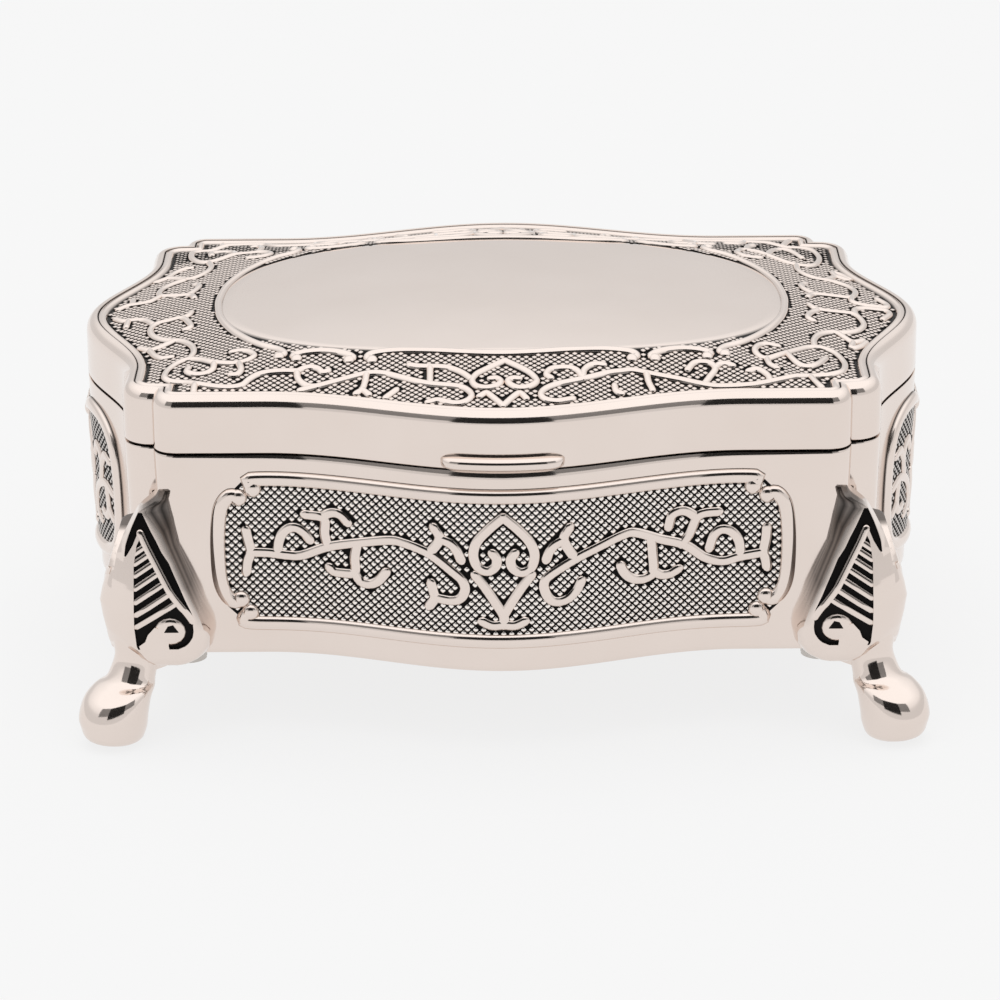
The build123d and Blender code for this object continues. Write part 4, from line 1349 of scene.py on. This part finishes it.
# The studio's brightness by the height of a direction: lowest and highest level, and the heights between them
SKY_SLOPE = (0.80, 1.18, 0.22, 0.75)
SKY_STEP = (-0.03, 0.06, 0.31, 0.39)
WHITE = (1, 1, 1, 1)
FLOOR_GREY = (0.08, 0.08, 0.08, 1)
FLOOR_GLOW = 0.81
FLOOR_REACH = 4000
CARD_LOW_Z = 130
SIDE_CARD_LOW_Z = 230
CARD_HIGH_Z = 740
CARD_Y = -740
CARD_X = 330
SIDE_CARD_FAR = (760, -560)
FRONT_CARD_GREY = 0.01
SIDE_CARD_GREY = 0.3
LAMP_HEIGHT = 1100
LAMP_SIZE = 900
LAMP_POWER = 6

# The photograph's view, found by fitting the rim and the feet
CAMERA_PLACE = (-0.2, -583.8, 239.6)
CAMERA_DOWN = math.radians(20.57)
CAMERA_ROLL = math.radians(-0.37)
CAMERA_LENS = 152.7
CAMERA_SHIFT_X = -0.00144


def studio_world():
    """White all round, a little dimmer near the horizon and brighter overhead."""
    world = bpy.data.worlds.new("studio")
    bpy.context.scene.world = world
    world.use_nodes = True
    nodes, links = world.node_tree.nodes, world.node_tree.links
    toward = nodes.new("ShaderNodeTexCoord")
    parts = nodes.new("ShaderNodeSeparateXYZ")
    links.new(toward.outputs["Generated"], parts.inputs[0])
    total = nodes.new("ShaderNodeMath")
    for socket, fit in zip(total.inputs, (SKY_SLOPE, SKY_STEP)):
        links.new(value_range(nodes, links, parts.outputs["Z"], *fit), socket)
    set_inputs(nodes["Background"], {"Color": WHITE})
    links.new(total.outputs[0], nodes["Background"].inputs["Strength"])


def floor_material():
    """A floor that the camera and reflections see near white, and that still takes a shadow."""
    made, nodes, links = node_material("floor")
    shader = nodes["Principled BSDF"]
    set_inputs(shader, {"Base Color": FLOOR_GREY, "Roughness": 1.0, "Specular IOR Level": 0.0})
    path = nodes.new("ShaderNodeLightPath")
    seen = nodes.new("ShaderNodeMath")
    seen.operation = "MAXIMUM"
    links.new(path.outputs["Is Camera Ray"], seen.inputs[0])
    links.new(path.outputs["Is Glossy Ray"], seen.inputs[1])
    glow = nodes.new("ShaderNodeMath")
    glow.operation = "MULTIPLY"
    glow.inputs[1].default_value = FLOOR_GLOW
    links.new(seen.outputs[0], glow.inputs[0])
    set_inputs(shader, {"Emission Color": WHITE})
    links.new(glow.outputs[0], shader.inputs["Emission Strength"])
    return made


def flat_sheet(name, corners, material):
    mesh = new_mesh(name, corners, [[0, 1, 2, 3]])
    mesh.materials.append(material)
    made = in_scene(name, mesh)
    return made


def top_lamp():
    """A wide lamp straight above, that the metal doesn't mirror. A lamp points down as it is made."""
    lamp = bpy.data.lights.new("top_lamp", "AREA")
    lamp.size = LAMP_SIZE * MM
    lamp.energy = LAMP_POWER
    made = in_scene("top_lamp", lamp)
    made.location = (0, 0, LAMP_HEIGHT * MM)
    made.visible_glossy = False


def camera():
    lens = bpy.data.cameras.new("camera")
    lens.lens = CAMERA_LENS
    lens.sensor_width = 36.0
    lens.shift_x = CAMERA_SHIFT_X
    lens.clip_start = 0.05
    lens.clip_end = 20.0
    made = in_scene("camera", lens)
    tilt = Matrix.Rotation(math.pi / 2 - CAMERA_DOWN, 4, "X")
    roll = Matrix.Rotation(CAMERA_ROLL, 4, "Z")
    made.matrix_world = Matrix.Translation(Vector(CAMERA_PLACE) * MM) @ tilt @ roll
    bpy.context.scene.camera = made


def dark_card(name, near, far, low_z, grey):
    """An upright dark sheet between two places in plan, that only reflections see."""
    material, nodes, _ = node_material(name)
    set_inputs(nodes["Principled BSDF"], {"Base Color": (grey, grey, grey, 1), "Roughness": 1.0})
    corners = [(*near, low_z), (*far, low_z), (*far, CARD_HIGH_Z), (*near, CARD_HIGH_Z)]
    card = flat_sheet(name, corners, material)
    card.visible_camera = False
    card.visible_diffuse = False
    card.visible_shadow = False


def stage():
    studio_world()
    corners = FLOOR_REACH * np.array([(-1, -1, 0), (1, -1, 0), (1, 1, 0), (-1, 1, 0)])
    flat_sheet("floor", corners, floor_material())
    dark_card("front_card", (-CARD_X, CARD_Y), (CARD_X, CARD_Y), CARD_LOW_Z, FRONT_CARD_GREY)
    for name, side in (("right", 1), ("left", -1)):
        far = (SIDE_CARD_FAR[0] * side, SIDE_CARD_FAR[1])
        dark_card("side_card_" + name, (CARD_X * side, CARD_Y), far, SIDE_CARD_LOW_Z, SIDE_CARD_GREY)
    top_lamp()
    camera()
    bpy.context.scene.view_settings.view_transform = "Standard"


base_shell()
screw_bosses()
lid_shell()
for wall_name, on_wall in (("front", on_front), ("back", on_back)):
    panel(wall_name, on_wall, FRONT_FRAME, FRONT_VINES, FRONT_PANEL_HALF, WALL_BEAD)
for wall_name, on_wall in (("right", on_right), ("left", on_left)):
    panel(wall_name, on_wall, SIDE_FRAME, SIDE_VINES, SIDE_PANEL_HALF, SIDE_SHADED_BEAD)
lid_ornament()
legs()
floor_lining()
wall_lining()
lid_pad()
hinge_finish()
stage()
